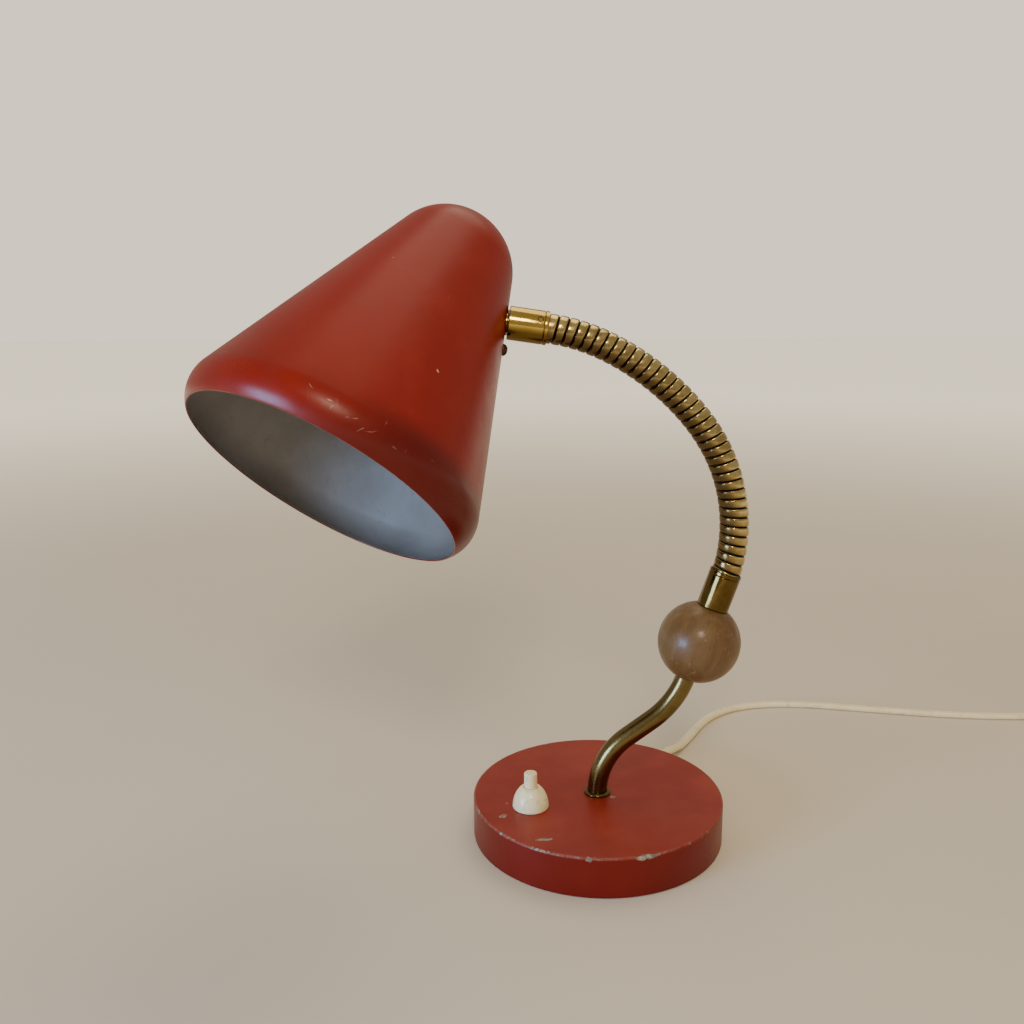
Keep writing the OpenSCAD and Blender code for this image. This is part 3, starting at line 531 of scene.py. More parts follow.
M["button_plastic"] = plastic("button_plastic", (0.97, 0.82, 0.52), (0.90, 0.72, 0.42), (0.28, 0.4), 0.10, (0.45, 0.33, 0.2), 160, coat=0.1)
M["cord_pvc"] = plastic("cord_pvc", (1.0, 0.87, 0.55), (0.95, 0.80, 0.47), (0.36, 0.5), 0.08, (0.45, 0.38, 0.28), 60)
M["lead_cover"] = plastic("lead_cover", (0.55, 0.50, 0.42), (0.46, 0.41, 0.33), (0.45, 0.6), 0, (0.3, 0.24, 0.18), 90)
M["bakelite"] = plastic("bakelite", (0.022, 0.014, 0.011), (0.04, 0.024, 0.018), (0.18, 0.32), 0, (0.09, 0.07, 0.05), 60, coat=0.2)
M["tie_plastic"] = plastic("tie_plastic", (0.02, 0.02, 0.02), (0.035, 0.035, 0.035), (0.4, 0.55), 0, None, 200)


def felt():
    m = Mat("green_felt")
    a = m.noise(90, 4)
    col = m.mix(m.ramp(a, 0.35, 0.7), (0.045, 0.105, 0.06), (0.07, 0.15, 0.085))
    fib = m.noise(1.0, 4, 0.7, m.map((2600, 2600, 2600)))
    return m.set(color=col, rough=0.95, sheen=0.4, normal=m.bump(fib, 0.6, 0.0006))


def wood():
    m = Mat("dark_wood")
    # grain runs along the ball's own axis, nearly upright
    v = m.map((1, 1, 1), rot=(0, math.radians(-18.5), 0))
    x, y, z = m.xyz(v)
    grain = m.noise(1.0, 5, 0.65, m.map((210, 210, 16), src=v), 0.6)
    rings = m.noise(1.0, 3, 0.5, m.map((60, 60, 8), src=v), 1.2)
    col = m.mix(m.ramp(grain, 0.25, 0.75), (0.118, 0.058, 0.016), (0.180, 0.096, 0.032))
    col = m.mix(m.math("MULTIPLY", m.ramp(rings, 0.42, 0.66), 0.35), col, (0.115, 0.055, 0.020))
    pores = m.ramp(m.noise(1.0, 2, 0.6, m.map((900, 900, 90), src=v)), 0.62, 0.70)
    col = m.mix(m.math("MULTIPLY", pores, 0.30), col, (0.045, 0.020, 0.008))
    flecks = m.ramp(m.noise(1.0, 2, 0.5, m.map((520, 520, 150), src=v)), 0.66, 0.72)
    col = m.mix(m.math("MULTIPLY", flecks, 0.45), col, (0.30, 0.20, 0.10))
    rough = m.ramp(m.noise(90, 3), 0.3, 0.7, 0.36, 0.50)
    return m.set(color=col, rough=rough, normal=m.bump(m.math("ADD", grain, m.math("MULTIPLY", pores, -0.6)), 0.03, 0.0003), coat=0.20, coat_rough=0.16, spec=0.35)


def shade_inside():
    m = Mat("shade_inside")
    a = m.noise(30, 4, 0.6)
    # painted shade: the inner paint is made a dark grey rather than its own pale colour
    col = m.mix(m.ramp(a, 0.35, 0.7), (0.235, 0.215, 0.195), (0.190, 0.170, 0.150))
    d = m.ramp(m.noise(260, 4, 0.7), 0.62, 0.70)
    col = m.mix(m.math("MULTIPLY", d, 0.4), col, (0.12, 0.10, 0.08))
    return m.set(color=col, rough=m.ramp(m.noise(90, 3), 0.3, 0.7, 0.40, 0.56), normal=m.bump(m.noise(500, 3), 0.10, 0.0004))


def opal():
    m = Mat("opal_glass")
    a = m.noise(60, 3)
    col = m.mix(m.ramp(a, 0.35, 0.7), (0.86, 0.85, 0.81), (0.80, 0.785, 0.74))
    return m.set(color=col, rough=m.ramp(m.noise(220, 2), 0.3, 0.7, 0.12, 0.22), coat=0.3, sss=0.15, sss_radius=(0.006, 0.006, 0.006), sss_scale=1.0)


M["green_felt"] = felt()
M["dark_wood"] = wood()
M["shade_inside"] = shade_inside()
M["opal_glass"] = opal()


def neck_brass():
    """brass band of the neck: bright crowns, dirt in the grooves, by the depth attribute"""
    m = Mat("neck_brass")
    dep = m.n("ShaderNodeAttribute", attribute_name="crown").outputs["Fac"]
    a = m.noise(120, 4, 0.6)
    col = m.mix(m.ramp(a, 0.3, 0.7), (0.380, 0.280, 0.105), (0.640, 0.500, 0.215))
    # painted shade: the inner side of the neck's curve is darkened
    painted_inner_shade = m.facing((0.62, -0.10, 0.74), 0.55, -0.30)
    col = m.mix(m.math("MULTIPLY", painted_inner_shade, 0.9), col, (0.080, 0.046, 0.016))
    s = m.math("MULTIPLY", m.ramp(m.voronoi(900), 0.12, 0.25, 1, 0), m.ramp(m.noise(170, 3), 0.46, 0.6))
    col = m.mix(m.math("MULTIPLY", s, 0.65), col, (0.085, 0.055, 0.022))
    dirt = m.ramp(dep, 0.40, 0.93, 1.0, 0.0)
    col = m.mix(dirt, col, (0.010, 0.005, 0.0025))
    rough = m.math("ADD", m.ramp(m.noise(500, 3), 0.3, 0.7, 0.15, 0.27), m.math("MULTIPLY", dirt, 0.3))
    return m.set(color=col, metal=m.ramp(dep, 0.2, 0.6, 0.55, 1.0), rough=rough, normal=m.bump(m.noise(1500, 3), 0.08, 0.0003))


M["neck_brass"] = neck_brass()


def give(ob, *mats):
    ob.data.materials.clear()
    for k in mats:
        ob.data.materials.append(M[k])


# ------------------------------------------------------------------ mains cord
CORD_W, CORD_T = 0.006, 0.0038
ROUTE = [(48.8, 78, 8), (53, 84.8, 7.2), (58, 93, 4.8), (63.5, 102, 2.6), (69, 111.5, 1.9), (75, 122, 1.9),
         (81, 133, 1.9), (88, 144, 1.9), (97, 154.5, 1.9), (109, 163.5, 1.9), (123, 169.5, 1.9), (138, 172.5, 1.9),
         (154, 173, 1.9), (170, 171.5, 1.9), (186, 168.5, 1.9), (202, 165, 1.9), (218, 161.5, 1.9), (234, 158, 1.9),
         (250, 155, 1.9), (266, 152.5, 1.9), (282, 150.5, 1.9), (298, 149.2, 1.9), (314, 148.6, 2), (330, 148.4, 2.3)]
COIL = (352.0, 110.0)
TAIL = [(364, 150, 5.8), (375, 146.5, 4.5), (384.5, 140.5, 2.8), (391.5, 132.5, 2), (395.5, 122.5, 1.9),
        (396.8, 112, 1.9), (396.8, 100, 2.3), (396.8, 88, 4.6), (396.8, 76, 7)]
R_IN, R_OUT = 32.0, 38.4
LAYERS = [2.45, 6.3, 10.2]
SLOTS = [(R_OUT, LAYERS[0]), (R_IN, LAYERS[0]), (R_IN, LAYERS[1]), (R_IN, LAYERS[2]), (R_OUT, LAYERS[2]), (R_OUT, LAYERS[1])]
pts = [Vector(p) for p in ROUTE]
steps = 28
for turn_i, (r0, z0) in enumerate(SLOTS):
    last_turn = turn_i == len(SLOTS) - 1
    nr, nz = SLOTS[turn_i + 1] if not last_turn else (R_OUT + 1.6, LAYERS[1])
    for k in range(steps):
        a = 360.0 * k / steps
        w = 0.0
        if a > 290:
            w = (a - 290) / 70.0
            w = w * w * (3 - 2 * w)
        r = r0 + (nr - r0) * w
        z = z0 + (nz - z0) * w
        th = math.radians(90 - a)
        pts.append(Vector((COIL[0] + r * math.cos(th), COIL[1] + r * math.sin(th), z)))
pts.append(Vector((COIL[0], COIL[1] + R_OUT + 1.9, 6.3)))
pts += [Vector(p) for p in TAIL]


def catmull(points, n=4):
    out = []
    for i in range(len(points) - 1):
        p0 = points[max(i - 1, 0)]; p1 = points[i]; p2 = points[i + 1]; p3 = points[min(i + 2, len(points) - 1)]
        for k in range(n):
            t = k / n
            out.append(0.5 * ((2 * p1) + (p2 - p0) * t + (2 * p0 - 5 * p1 + 4 * p2 - p3) * t * t
                              + (3 * p1 - p0 - 3 * p2 + p3) * t ** 3))
    out.append(points[-1])
    return out


def flat_cord(name, path_mm, per=3):
    path = [p * MM for p in catmull(path_mm, per)]
    verts, faces = [], []
    prof = []
    hw, ht = CORD_W / 2, CORD_T / 2
    # two round cores with a shallow groove between them
    c = hw - ht
    for k in range(9):
        a = -math.pi / 2 + math.pi * k / 8
        prof.append((c + ht * math.cos(a), ht * math.sin(a)))
    prof.append((0.0, ht * 0.80))
    for k in range(9):
        a = math.pi / 2 + math.pi * k / 8
        prof.append((-c + ht * math.cos(a), ht * math.sin(a)))
    prof.append((0.0, -ht * 0.80))
    m = len(prof)
    up = Vector((0, 0, 1))
    n = len(path)
    for i, p in enumerate(path):
        d = (path[min(i + 1, n - 1)] - path[max(i - 1, 0)]).normalized()
        s = up.cross(d).normalized()
        u = d.cross(s)
        for x, y in prof:
            verts.append(p + s * x + u * y)
    for i in range(n - 1):
        for k in range(m):
            k2 = (k + 1) % m
            faces.append((i * m + k, i * m + k2, (i + 1) * m + k2, (i + 1) * m + k))
    faces.append(tuple(range(m))[::-1])
    faces.append(tuple((n - 1) * m + k for k in range(m)))
    ob = new_object(name, verts, faces)
    fix_normals(ob)
    sharp(ob, 60)
    return ob, path


cord, cord_path = flat_cord("cord", pts)
give(cord, "cord_pvc")
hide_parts("mains_cord", "cord_coil", "cord_tail")
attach(cord, "lamp_base")


# ------------------------------------------------------------------ frames of the lamp
def mat_from(o, x, y, z):
    return Matrix(((x.x, y.x, z.x, o.x), (x.y, y.y, z.y, o.y), (x.z, y.z, z.z, o.z), (0, 0, 0, 1)))


def jpos(name):
    return Vector(JOINTS[name]["pos_m"])


curl = ["arm_curl"] + ["arm_curl_%d" % i for i in range(2, 7)]
side = ["arm_side"] + ["arm_side_%d" % i for i in range(2, 7)]
order = [n for pair in zip(side, curl) for n in pair]      # pivots from the lower ferrule to the shade
pivots = [jpos(n) for n in order]
Q = jpos("shade_turn")
zh = Vector(JOINTS["shade_turn"]["axis"]).normalized()
xh = Vector((0, 1, 0)).cross(zh).normalized()
HEAD = mat_from(Q, xh, Vector((0, 1, 0)), zh)
LEAN = math.radians(18.5)
nd = Vector((math.sin(LEAN), 0, math.cos(LEAN)))
BALL_AT = pivots[0] - nd * 0.0478
BALL = mat_from(BALL_AT, Vector((math.cos(LEAN), 0, -math.sin(LEAN))), Vector((0, 1, 0)), nd)
CONE = math.radians(18.9)
NOSE = 0.0346
HOLE_T = 0.046
HOLE_R = NOSE / math.cos(CONE) + (HOLE_T - NOSE) * math.tan(CONE)
SHADE = HEAD @ Matrix.Rotation(math.radians(180 + 32), 4, "Z") @ Matrix.Rotation(math.pi / 2 - CONE, 4, "Y") @ Matrix.Translation((-HOLE_R, 0, -HOLE_T))
WALL = HEAD @ Matrix.Rotation(math.radians(180 + 32), 4, "Z")
SWITCH = Matrix.Translation((-0.038, -0.0155, 0.0))

# ------------------------------------------------------------------ shade
SH_R, SH_MAX, LIP = 0.0179, 0.0765, math.radians(42)
SH_C = SH_MAX - SH_R
SH_T = NOSE + (math.cos(CONE) * SH_C - (NOSE - SH_R)) / math.sin(CONE)
WALL_T = 0.0009


def outline(w, n1=30, n2=30):
    o = []
    for k in range(n1 + 1):
        a = (math.pi / 2 - CONE) * k / n1
        o.append(((NOSE - w) * math.sin(a), NOSE - (NOSE - w) * math.cos(a)))
    p = o[-1]
    a = -CONE
    q = (SH_C + (SH_R - w) * math.cos(a), SH_T + (SH_R - w) * math.sin(a))
    for k in range(1, 24):
        t = k / 24
        o.append((p[0] + (q[0] - p[0]) * t, p[1] + (q[1] - p[1]) * t))
    for k in range(n2 + 1):
        a = -CONE + (CONE + LIP) * k / n2
        o.append((SH_C + (SH_R - w) * math.cos(a), SH_T + (SH_R - w) * math.sin(a)))
    return o


outer = outline(0.0)
inner = outline(WALL_T)
# small rolled edge between the two skins
e0, e1 = Vector(outer[-1]), Vector(inner[-1])
mid = (e0 + e1) / 2
roll = []
d = (e0 - mid)
fwd = Vector((-math.sin(LIP), math.cos(LIP)))
for k in range(1, 6):
    a = math.pi * k / 6
    roll.append(tuple(mid + d * math.cos(a) + fwd * (d.length * 0.6) * math.sin(a)))
profile = outer + [tuple(r) for r in roll] + inner[::-1]
shade = lathe("shade_skin", profile, None, 192)
att = shade.data.attributes.new("shade_t", "FLOAT", "POINT")
att.data.foreach_set("value", [v.co.z for v in shade.data.vertices])
# material 1 inside
give(shade, "red_shade", "shade_inside")
n_out = len(outer) + 3
for p in shade.data.polygons:
    c = p.center
    r = math.hypot(c.x, c.y)
    t = c.z
    # a face is inside when its normal looks at the axis
    rad = Vector((c.x, c.y, 0))
    if t < NOSE:
        side_in = p.normal.dot(Vector((c.x, c.y, t - NOSE))) < 0
    else:
        if t > SH_T - SH_R * math.sin(CONE) - 1e-4:
            cc = rad.normalized() * SH_C
            side_in = p.normal.dot(Vector((c.x - cc.x, c.y - cc.y, t - SH_T))) < 0
        else:
            side_in = p.normal.dot(rad) < 0
    if side_in and t < 0.16565:
        p.material_index = 1
shade.data.transform(SHADE)
shade.data.update()
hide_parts("shade")
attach(shade, "shade_unit")


# ------------------------------------------------------------------ base shell
BR, BH, BW = 0.070, 0.0225, 0.0012
pr = fillet([(0.0, BH), (BR, BH), (BR, 0.0005), (BR - BW, 0.0005), (BR - BW, BH - BW), (0.0, BH - BW)],
            [0, 0.0012, 0.0003, 0.0003, 0.0006, 0], 6)
# extra rings so the top face shades evenly
prof = [pr[0]] + [(r, BH) for r in (0.02, 0.04, 0.055, 0.064, 0.0675)] + pr[1:]
shell = lathe("base_cover", prof, None, 256)
give(shell, "red_base")
sharp(shell, 50)
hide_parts("base_shell")
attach(shell, "lamp_base")

# ------------------------------------------------------------------ stem
STEM_R = 0.0055
A0 = math.radians(53)
RA, RB, RUN, SZ = 0.041, 0.052, 0.017, 0.0235
path = [Vector((0, 0, 0.006)), Vector((0, 0, 0.012)), Vector((0, 0, 0.018)), Vector((0, 0, 0.022))]
for k in range(0, 25):
    a = A0 * k / 24
    path.append(Vector((RA * (1 - math.cos(a)), 0, SZ + RA * math.sin(a))))
be = path[-1]
dirn = Vector((math.sin(A0), 0, math.cos(A0)))
for k in range(1, 5):
    path.append(be + dirn * (RUN * k / 4))
re_ = path[-1]
B0 = A0 - LEAN
for k in range(1, 19):
    a = B0 * k / 18
    v = Vector((-RB * (1 - math.cos(a)), 0, RB * math.sin(a)))
    path.append(re_ + Vector((v.x * math.cos(A0) + v.z * math.sin(A0), 0, -v.x * math.sin(A0) + v.z * math.cos(A0))))
path.append(BALL_AT - nd * 0.0137)
stem = sweep("stem_pipe", path, STEM_R, 40)
give(stem, "aged_brass")
sharp(stem, 60)
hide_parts("stem_tube")
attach(stem, "lamp_base")

cp = fillet([(0.00555, 0.0225), (0.0075, 0.0225), (0.0075, 0.0237), (0.0067, 0.0245), (0.00555, 0.0245)],
            [0, 0.0002, 0.0005, 0.0003, 0.0001], 4)
collar = lathe("stem_foot_ring", cp, None, 96, True)
give(collar, "aged_brass")
sharp(collar, 50)
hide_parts("stem_collar")
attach(collar, "lamp_base")

# ------------------------------------------------------------------ wooden ball
bp = []
hb = math.acos(0.0208 / 0.0225)
lo = math.pi - math.asin(0.0058 / 0.0225)
bp.append((0.0051, 0.0206))
bp.append((0.0080, 0.02078))
for k in range(60):
    a = hb + 0.01 + (lo - hb - 0.01) * k / 59
    bp.append((0.0225 * math.sin(a), 0.0225 * math.cos(a)))
bp.append((0.00556, 0.0225 * math.cos(lo) + 0.0006))
bp.append((0.00556, -0.0116))
bp.append((0.0051, -0.0114))
ball = lathe("wooden_ball", bp, BALL, 128, True)
give(ball, "dark_wood")
sharp(ball, 40)
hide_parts("wood_ball")
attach(ball, "lamp_base")

# ------------------------------------------------------------------ lower ferrule
FR = 0.00875
z0, z1 = 0.02085, 0.0418
fp = fillet([(0.0049, z0), (FR, z0), (FR, z1 - 0.0022), (FR + 0.0, z1 - 0.0016), (FR, z1), (0.0079, z1), (0.0079, 0.0298), (0.0049, 0.0298)],
            [0, 0.0005, 0, 0, 0.0006, 0.0003, 0, 0], 5)
fp = [(0.0049, z0)] + fillet([(0.0049, z0), (FR - 0.00005, z0), (FR - 0.00005, z1 - 0.0026), (FR - 0.0004, z1 - 0.0022),
                              (FR, z1 - 0.0018), (FR, z1), (0.0079, z1), (0.0079, 0.0298), (0.0049, 0.0298)],
                             [0, 0.0006, 0.0002, 0.0001, 0.0002, 0.0008, 0.0004, 0, 0], 5)[1:]
ferr = lathe("lower_socket", fp, BALL, 96, True)
give(ferr, "ferrule_brass")
sharp(ferr, 50)
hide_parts("lower_ferrule")
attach(ferr, "lamp_base")

# upper ferrule
z0, z1 = -0.0214, 0.0
up_ = fillet([(0.0079, z0), (FR, z0), (FR, z0 + 0.0018), (FR - 0.0004, z0 + 0.0022), (FR - 0.00005, z0 + 0.0026), (FR - 0.00005, z1 - 0.0009),
              (0.00505, z1 - 0.0009), (0.00505, -0.0129), (0.0079, -0.0129)],
             [0.0004, 0.0008, 0.0002, 0.0001, 0.0002, 0.0005, 0, 0, 0], 5)
uferr = lathe("upper_socket", up_, HEAD, 96, True)
give(uferr, "polished_brass")
sharp(uferr, 50)
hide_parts("upper_ferrule")
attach(uferr, "head")

# grub screw, set in a countersink; the countersink is drawn as a dark ring, as painted shade
GS = HEAD @ Matrix.Rotation(math.radians(-60), 4, "Z") @ Matrix.Translation((0, 0, -0.0169)) @ Matrix.Rotation(math.pi / 2, 4, "Y")
gp = fillet([(0.0, 0.00862), (0.00105, 0.00862), (0.00125, 0.00885), (0.0015, 0.00885), (0.0015, 0.0080), (0.0, 0.0080)], [0, 0.0001, 0.0001, 0.0001, 0, 0], 3)
grub = lathe("grub_screw", gp, GS, 32)
give(grub, "dark_bronze")
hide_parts("ferrule_screw")
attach(grub, "head")

# ------------------------------------------------------------------ gooseneck
NECK_R = 0.0078
PITCH = 0.00505
start = BALL_AT + nd * 0.0405
end = Q - zh * 0.0205


def hermite_chain():
    """smooth centre line through the middles of the links"""
    mids = [BALL_AT + nd * 0.0418]
    mids += [(pivots[i] + pivots[i + 1]) / 2 for i in range(11)]
    mids.append(Q - zh * 0.0214)
    dirs = [nd] + [(pivots[i + 1] - pivots[i]).normalized() for i in range(11)] + [zh]
    return mids, dirs


mids, dirs = hermite_chain()


def seg_point(i, t):
    p0, p1, d0, d1 = mids[i], mids[i + 1], dirs[i], dirs[i + 1]
    L = (p1 - p0).length
    h00 = 2 * t ** 3 - 3 * t ** 2 + 1; h10 = t ** 3 - 2 * t ** 2 + t
    h01 = -2 * t ** 3 + 3 * t ** 2; h11 = t ** 3 - t ** 2
    p = p0 * h00 + d0 * (L * h10) + p1 * h01 + d1 * (L * h11)
    g = (p0 * (6 * t * t - 6 * t) + d0 * (L * (3 * t * t - 4 * t + 1)) + p1 * (6 * t - 6 * t * t) + d1 * (L * (3 * t * t - 2 * t))).normalized()
    return p, g


# arc length at each seam
seam_s = [0.0]
for i in range(12):
    L = 0.0
    q = seg_point(i, 0)[0]
    for k in range(1, 41):
        r_ = seg_point(i, k / 40)[0]
        L += (r_ - q).length
        q = r_
    seam_s.append(seam_s[-1] + L)
total = seam_s[-1]
turns = 36
pitch = total / turns


def band(u):
    """height of the band over one pitch, u in 0..1: rounded crown, narrow steep groove"""
    u = u % 1.0
    g = 0.115
    c = abs(u - 0.5)                  # 0 in the middle of the band, 0.5 in the groove
    if c > 0.5 - g:
        x = (0.5 - c) / g             # 0 groove floor, 1 edge of the crown
        return 0.0 + 0.86 * min(1.0, x) ** 0.8
    x = c / (0.5 - g)
    return 0.86 + 0.14 * (1 - x ** 3.0) ** 0.8


SEG = 48
for i in range(12):
    s0, s1 = seam_s[i], seam_s[i + 1]
    n = max(8, int(round((s1 - s0) / pitch * 22)))
    verts, faces, crown = [], [], []
    for k in range(n + 1):
        t = k / n
        p, g = seg_point(i, t)
        sdist = s0 + (s1 - s0) * t
        yv = Vector((0, 1, 0))
        xv = yv.cross(g).normalized()
        for j in range(SEG):
            a = 2 * math.pi * j / SEG
            # the band is wound, so its phase moves on round the neck
            ph = sdist / pitch + j / SEG
            h = band(ph)
            # ends run under the ferrules
            # the grooves sink 1.4 mm below the crowns
            r = NECK_R - 0.0014 * (1 - h)
            verts.append(p + xv * (r * math.cos(a)) + yv * (r * math.sin(a)))
            crown.append(h)
    for k in range(n):
        for j in range(SEG):
            j2 = (j + 1) % SEG
            faces.append((k * SEG + j, k * SEG + j2, (k + 1) * SEG + j2, (k + 1) * SEG + j))
    # inner wall
    off = len(verts)
    m2 = 9
    for k in range(m2):
        p, g = seg_point(i, k / (m2 - 1))
        yv = Vector((0, 1, 0)); xv = yv.cross(g).normalized()
        for j in range(SEG):
            a = 2 * math.pi * j / SEG
            verts.append(p + xv * (0.0058 * math.cos(a)) + yv * (0.0058 * math.sin(a)))
            crown.append(0.0)
    for k in range(m2 - 1):
        for j in range(SEG):
            j2 = (j + 1) % SEG
            faces.append((off + k * SEG + j, off + (k + 1) * SEG + j, off + (k + 1) * SEG + j2, off + k * SEG + j2))
    for j in range(SEG):
        j2 = (j + 1) % SEG
        faces.append((j, off + j, off + j2, j2))
        e = n * SEG; f = off + (m2 - 1) * SEG
        faces.append((e + j, e + j2, f + j2, f + j))
    ob = new_object("neck_band_%02d" % (i + 1), verts, faces)
    at = ob.data.attributes.new("crown", "FLOAT", "POINT")
    at.data.foreach_set("value", crown)
    sharp(ob, 80)
    give(ob, "neck_brass")
    if i == 0:
        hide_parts("neck_link_00", "neck_link_01")
    elif i == 11:
        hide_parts("neck_link_12")
    else:
        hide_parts("neck_link_%02d" % (i + 1))
    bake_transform(ob)

# ------------------------------------------------------------------ push switch
DH = 0.012
dp = [(0.0052, 0.0), (0.0094, 0.0), (0.00975, 0.0001), (0.00993, 0.0004)]
for k in range(2, 39):
    zc = DH * k / 40
    dp.append((0.010 * math.sqrt(1 - (zc / 0.0136) ** 2), zc))
dp += [(0.00495, 0.01175), (0.00475, 0.01192), (0.00445, 0.01198), (0.00415, 0.01188), (0.00395, 0.01160), (0.0039, 0.0110), (0.0039, 0.0066), (0.0052, 0.0066)]
dome = lathe("switch_cap", dp, SWITCH @ Matrix.Translation((0, 0, BH)), 96, True)
give(dome, "ivory_plastic")
sharp(dome, 40)
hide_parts("switch_dome")
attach(dome, "lamp_base")

tb = BH + 0.020
bpf = fillet([(0.0, tb), (0.0036, tb), (0.0036, BH - 0.0022), (0.0042, BH - 0.0022), (0.0042, BH - 0.0036), (0.0, BH - 0.0036)],
             [0, 0.0008, 0, 0.0002, 0.0002, 0], 6)
button = lathe("switch_pusher", bpf, SWITCH, 64)
give(button, "button_plastic")
sharp(button, 50)
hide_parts("switch_button")
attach(button, "button")

# ------------------------------------------------------------------ screw on the shade
SC = WALL @ Matrix.Translation((0.016, 0, 0))
sp = []
for k in range(14):
    a = math.radians(90 * k / 13)
    sp.append((0.0031 * math.sin(a), -0.0001 - 0.0024 * math.cos(a)))
sp += [(0.0031, 0.0), (0.0015, 0.0), (0.0015, 0.0068), (0.0, 0.0068)]
screw = lathe("shade_screw_head", sp, SC, 48)
bm = bmesh.new(); bm.from_mesh(screw.data)
# slot across the head
inv = SC.inverted()
for v in bm.verts:
    q = inv @ v.co
    if abs(q.x) < 0.00042 and q.z < -0.0005:
        q.z += 0.0006
        v.co = SC @ q
bm.to_mesh(screw.data); bm.free()
give(screw, "dark_bronze")
sharp(screw, 40)
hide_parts("shade_screw")
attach(screw, "shade_unit")

# ------------------------------------------------------------------ bulb
gl = []
for k in range(46):
    a = math.radians(146 * k / 45)
    gl.append((0.0225 * math.sin(a), 0.1105 + 0.0225 * math.cos(a)))
gl = gl[::1] + [(0.0123, 0.0882), (0.0122, 0.0845), (0.0115, 0.0845), (0.0114, 0.0885)]
bulb = lathe("bulb_globe", gl[::-1], SHADE, 96)
give(bulb, "opal_glass")
sharp(bulb, 50)
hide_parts("bulb_glass")
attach(bulb, "shade_unit")

# ------------------------------------------------------------------ cord gland and plug
def radial(az, z):
    return Matrix.Rotation(math.radians(az), 4, "Z") @ Matrix.Translation((0, 0, z)) @ Matrix.Rotation(math.pi / 2, 4, "Y")


GL = radial(58, 0.008)
gp = [(0.0031, 0.0668), (0.006, 0.0668), (0.006, 0.0688), (0.0046, 0.0688), (0.0046, 0.07005), (0.0060, 0.07005), (0.0060, 0.0714), (0.0057, 0.07165)]
z = 0.07165
gp.append((0.0050, 0.07165))
for k in range(4):
    zz = 0.075 + k * 0.004
    r = 0.005 - 0.001 * (zz - 0.0716) / 0.0204
    gp += [(r, zz - 0.0002), (r - 0.0002, zz), (4.15e-3 - 0.00012 * k, zz + 0.0001), (4.15e-3 - 0.00012 * k, zz + 0.0009), (r - 0.0003, zz + 0.001), (r - 0.0001, zz + 0.0013)]
gp += [(0.0040, 0.0917), (0.0038, 0.092), (0.0031, 0.092)]
gland = lathe("cord_grommet", gp, GL, 64, True)
give(gland, "ivory_plastic")
sharp(gland, 40)
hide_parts("cord_gland")
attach(gland, "lamp_base")


def plug():
    """two-pin plug body lofted from a neck to a flat oval"""
    rings = [(0.0, 3.5, 3.5, 2.0), (3, 4.2, 4.0, 2.0), (6, 3.9, 3.8, 2.0), (6.6, 4.7, 4.3, 2.0), (9, 4.9, 4.5, 2.0), (9.6, 4.3, 4.1, 2.0), (10.2, 5.2, 4.7, 2.1),
             (15, 5.5, 5.2, 2.2), (17, 7.5, 6.0, 2.4), (20, 10.5, 6.6, 2.6), (25, 12.4, 6.8, 2.8), (34, 12.8, 6.8, 2.9), (38, 11.6, 6.5, 2.8), (42, 12.2, 6.7, 2.9),
             (49, 12.8, 6.8, 3.0), (51.2, 12.7, 6.7, 3.0), (52, 12.0, 6.1, 3.0)]
    verts, faces = [], []
    n = 64
    for y, a, b, e in rings:
        for k in range(n):
            t = 2 * math.pi * k / n
            c, s = math.cos(t), math.sin(t)
            r_a = abs(c) ** (2 / e) * (1 if c >= 0 else -1)
            r_b = abs(s) ** (2 / e) * (1 if s >= 0 else -1)
            verts.append(Vector((396.8 + a * r_a, 76 - y, 7 + b * r_b)) * MM)
    for i in range(len(rings) - 1):
        for k in range(n):
            k2 = (k + 1) % n
            faces.append((i * n + k, i * n + k2, (i + 1) * n + k2, (i + 1) * n + k))
    faces.append(tuple(range(n))[::-1])
    faces.append(tuple((len(rings) - 1) * n + k for k in range(n)))
    ob = new_object("plug_housing", verts, faces)
    fix_normals(ob)
    sharp(ob, 35)
    return ob


plug_ob = plug()
give(plug_ob, "ivory_plastic")
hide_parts("plug_body")
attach(plug_ob, "lamp_base")

# ------------------------------------------------------------------ materials of the carried-over nodes
slot_of = {s["node"]: s["material_slot"] for s in frame["record"]["subparts"]}
for name, ob in NODES.items():
    key = slot_of.get(name)
    ob.data.materials.clear()
    ob.data.materials.append(M["red_base" if key == "red_lacquer" else key])
    sharp(ob, 30)

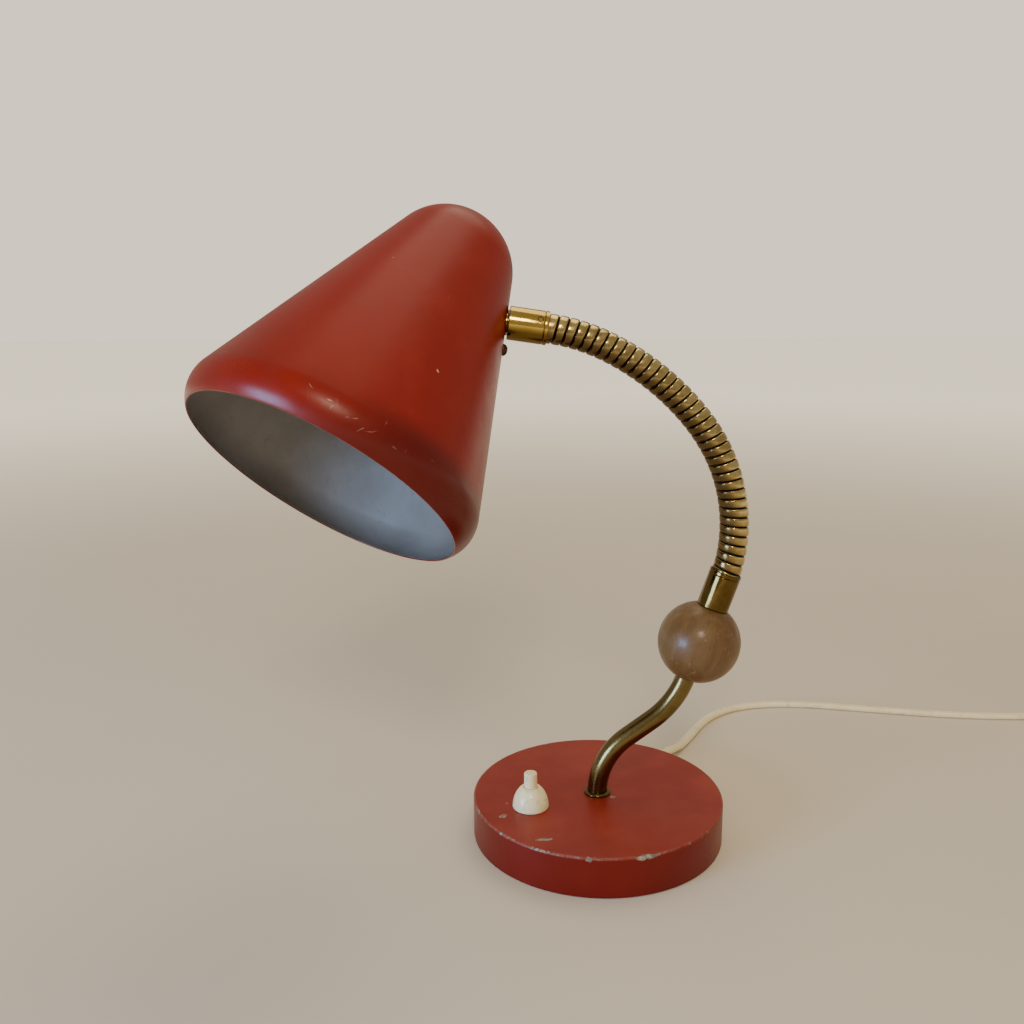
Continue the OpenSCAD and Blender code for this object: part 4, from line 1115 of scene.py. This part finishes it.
# ------------------------------------------------------------------ floor, world and lights
me = bpy.data.meshes.new("floor")
me.from_pydata([(-6, -6, 0), (6, -6, 0), (6, 6, 0), (-6, 6, 0)], [], [(0, 1, 2, 3)])
floor = bpy.data.objects.new("floor", me)
scene.collection.objects.link(floor)
fm = Mat("floor_paint")
fc = fm.mix(fm.ramp(fm.noise(2.0, 3), 0.3, 0.7), (0.70, 0.625, 0.505), (0.73, 0.655, 0.535))
# painted light: the floor glows more with distance, in the backdrop's colour
floor_glow = fm.ramp(fm.dist((0, 0, 0)), 0.4, 2.6)
fm.set(color=fc, rough=0.75, spec=0.15, emit=(0.90, 0.795, 0.635), emit_s=fm.math("MULTIPLY", floor_glow, 1.0))
floor.data.materials.append(fm.m)

world = bpy.data.worlds.new("world")
scene.world = world
world.use_nodes = True
bg = world.node_tree.nodes["Background"]
bg.inputs[0].default_value = (0.90, 0.795, 0.635, 1)
wt = world.node_tree
lp = wt.nodes.new("ShaderNodeLightPath")
mr = wt.nodes.new("ShaderNodeMapRange")
mr.inputs[3].default_value = 0.50
mr.inputs[4].default_value = 1.40
wt.links.new(lp.outputs["Is Camera Ray"], mr.inputs[0])
wt.links.new(mr.outputs[0], bg.inputs[1])


def area(name, loc, target, size, power, color, size_y=None):
    d = bpy.data.lights.new(name, "AREA")
    d.energy = power
    d.color = color
    d.size = size
    if size_y:
        d.shape = "RECTANGLE"
        d.size_y = size_y
    o = bpy.data.objects.new(name, d)
    scene.collection.objects.link(o)
    o.location = loc
    v = (Vector(target) - Vector(loc)).normalized()
    o.rotation_euler = v.to_track_quat("-Z", "Y").to_euler()
    return o


area("window_left", (-1.50, -1.00, 0.34), (-0.08, -0.02, 0.22), 0.7, 32, (0.34, 0.58, 1.0), 0.6)
area("ceiling", (0.35, 0.75, 1.9), (0.0, 0, 0.1), 1.3, 11, (1.0, 0.86, 0.62))
area("room_front", (-0.05, -1.45, 1.32), (0.0, 0, 0.24), 0.42, 13, (1.0, 0.84, 0.60))
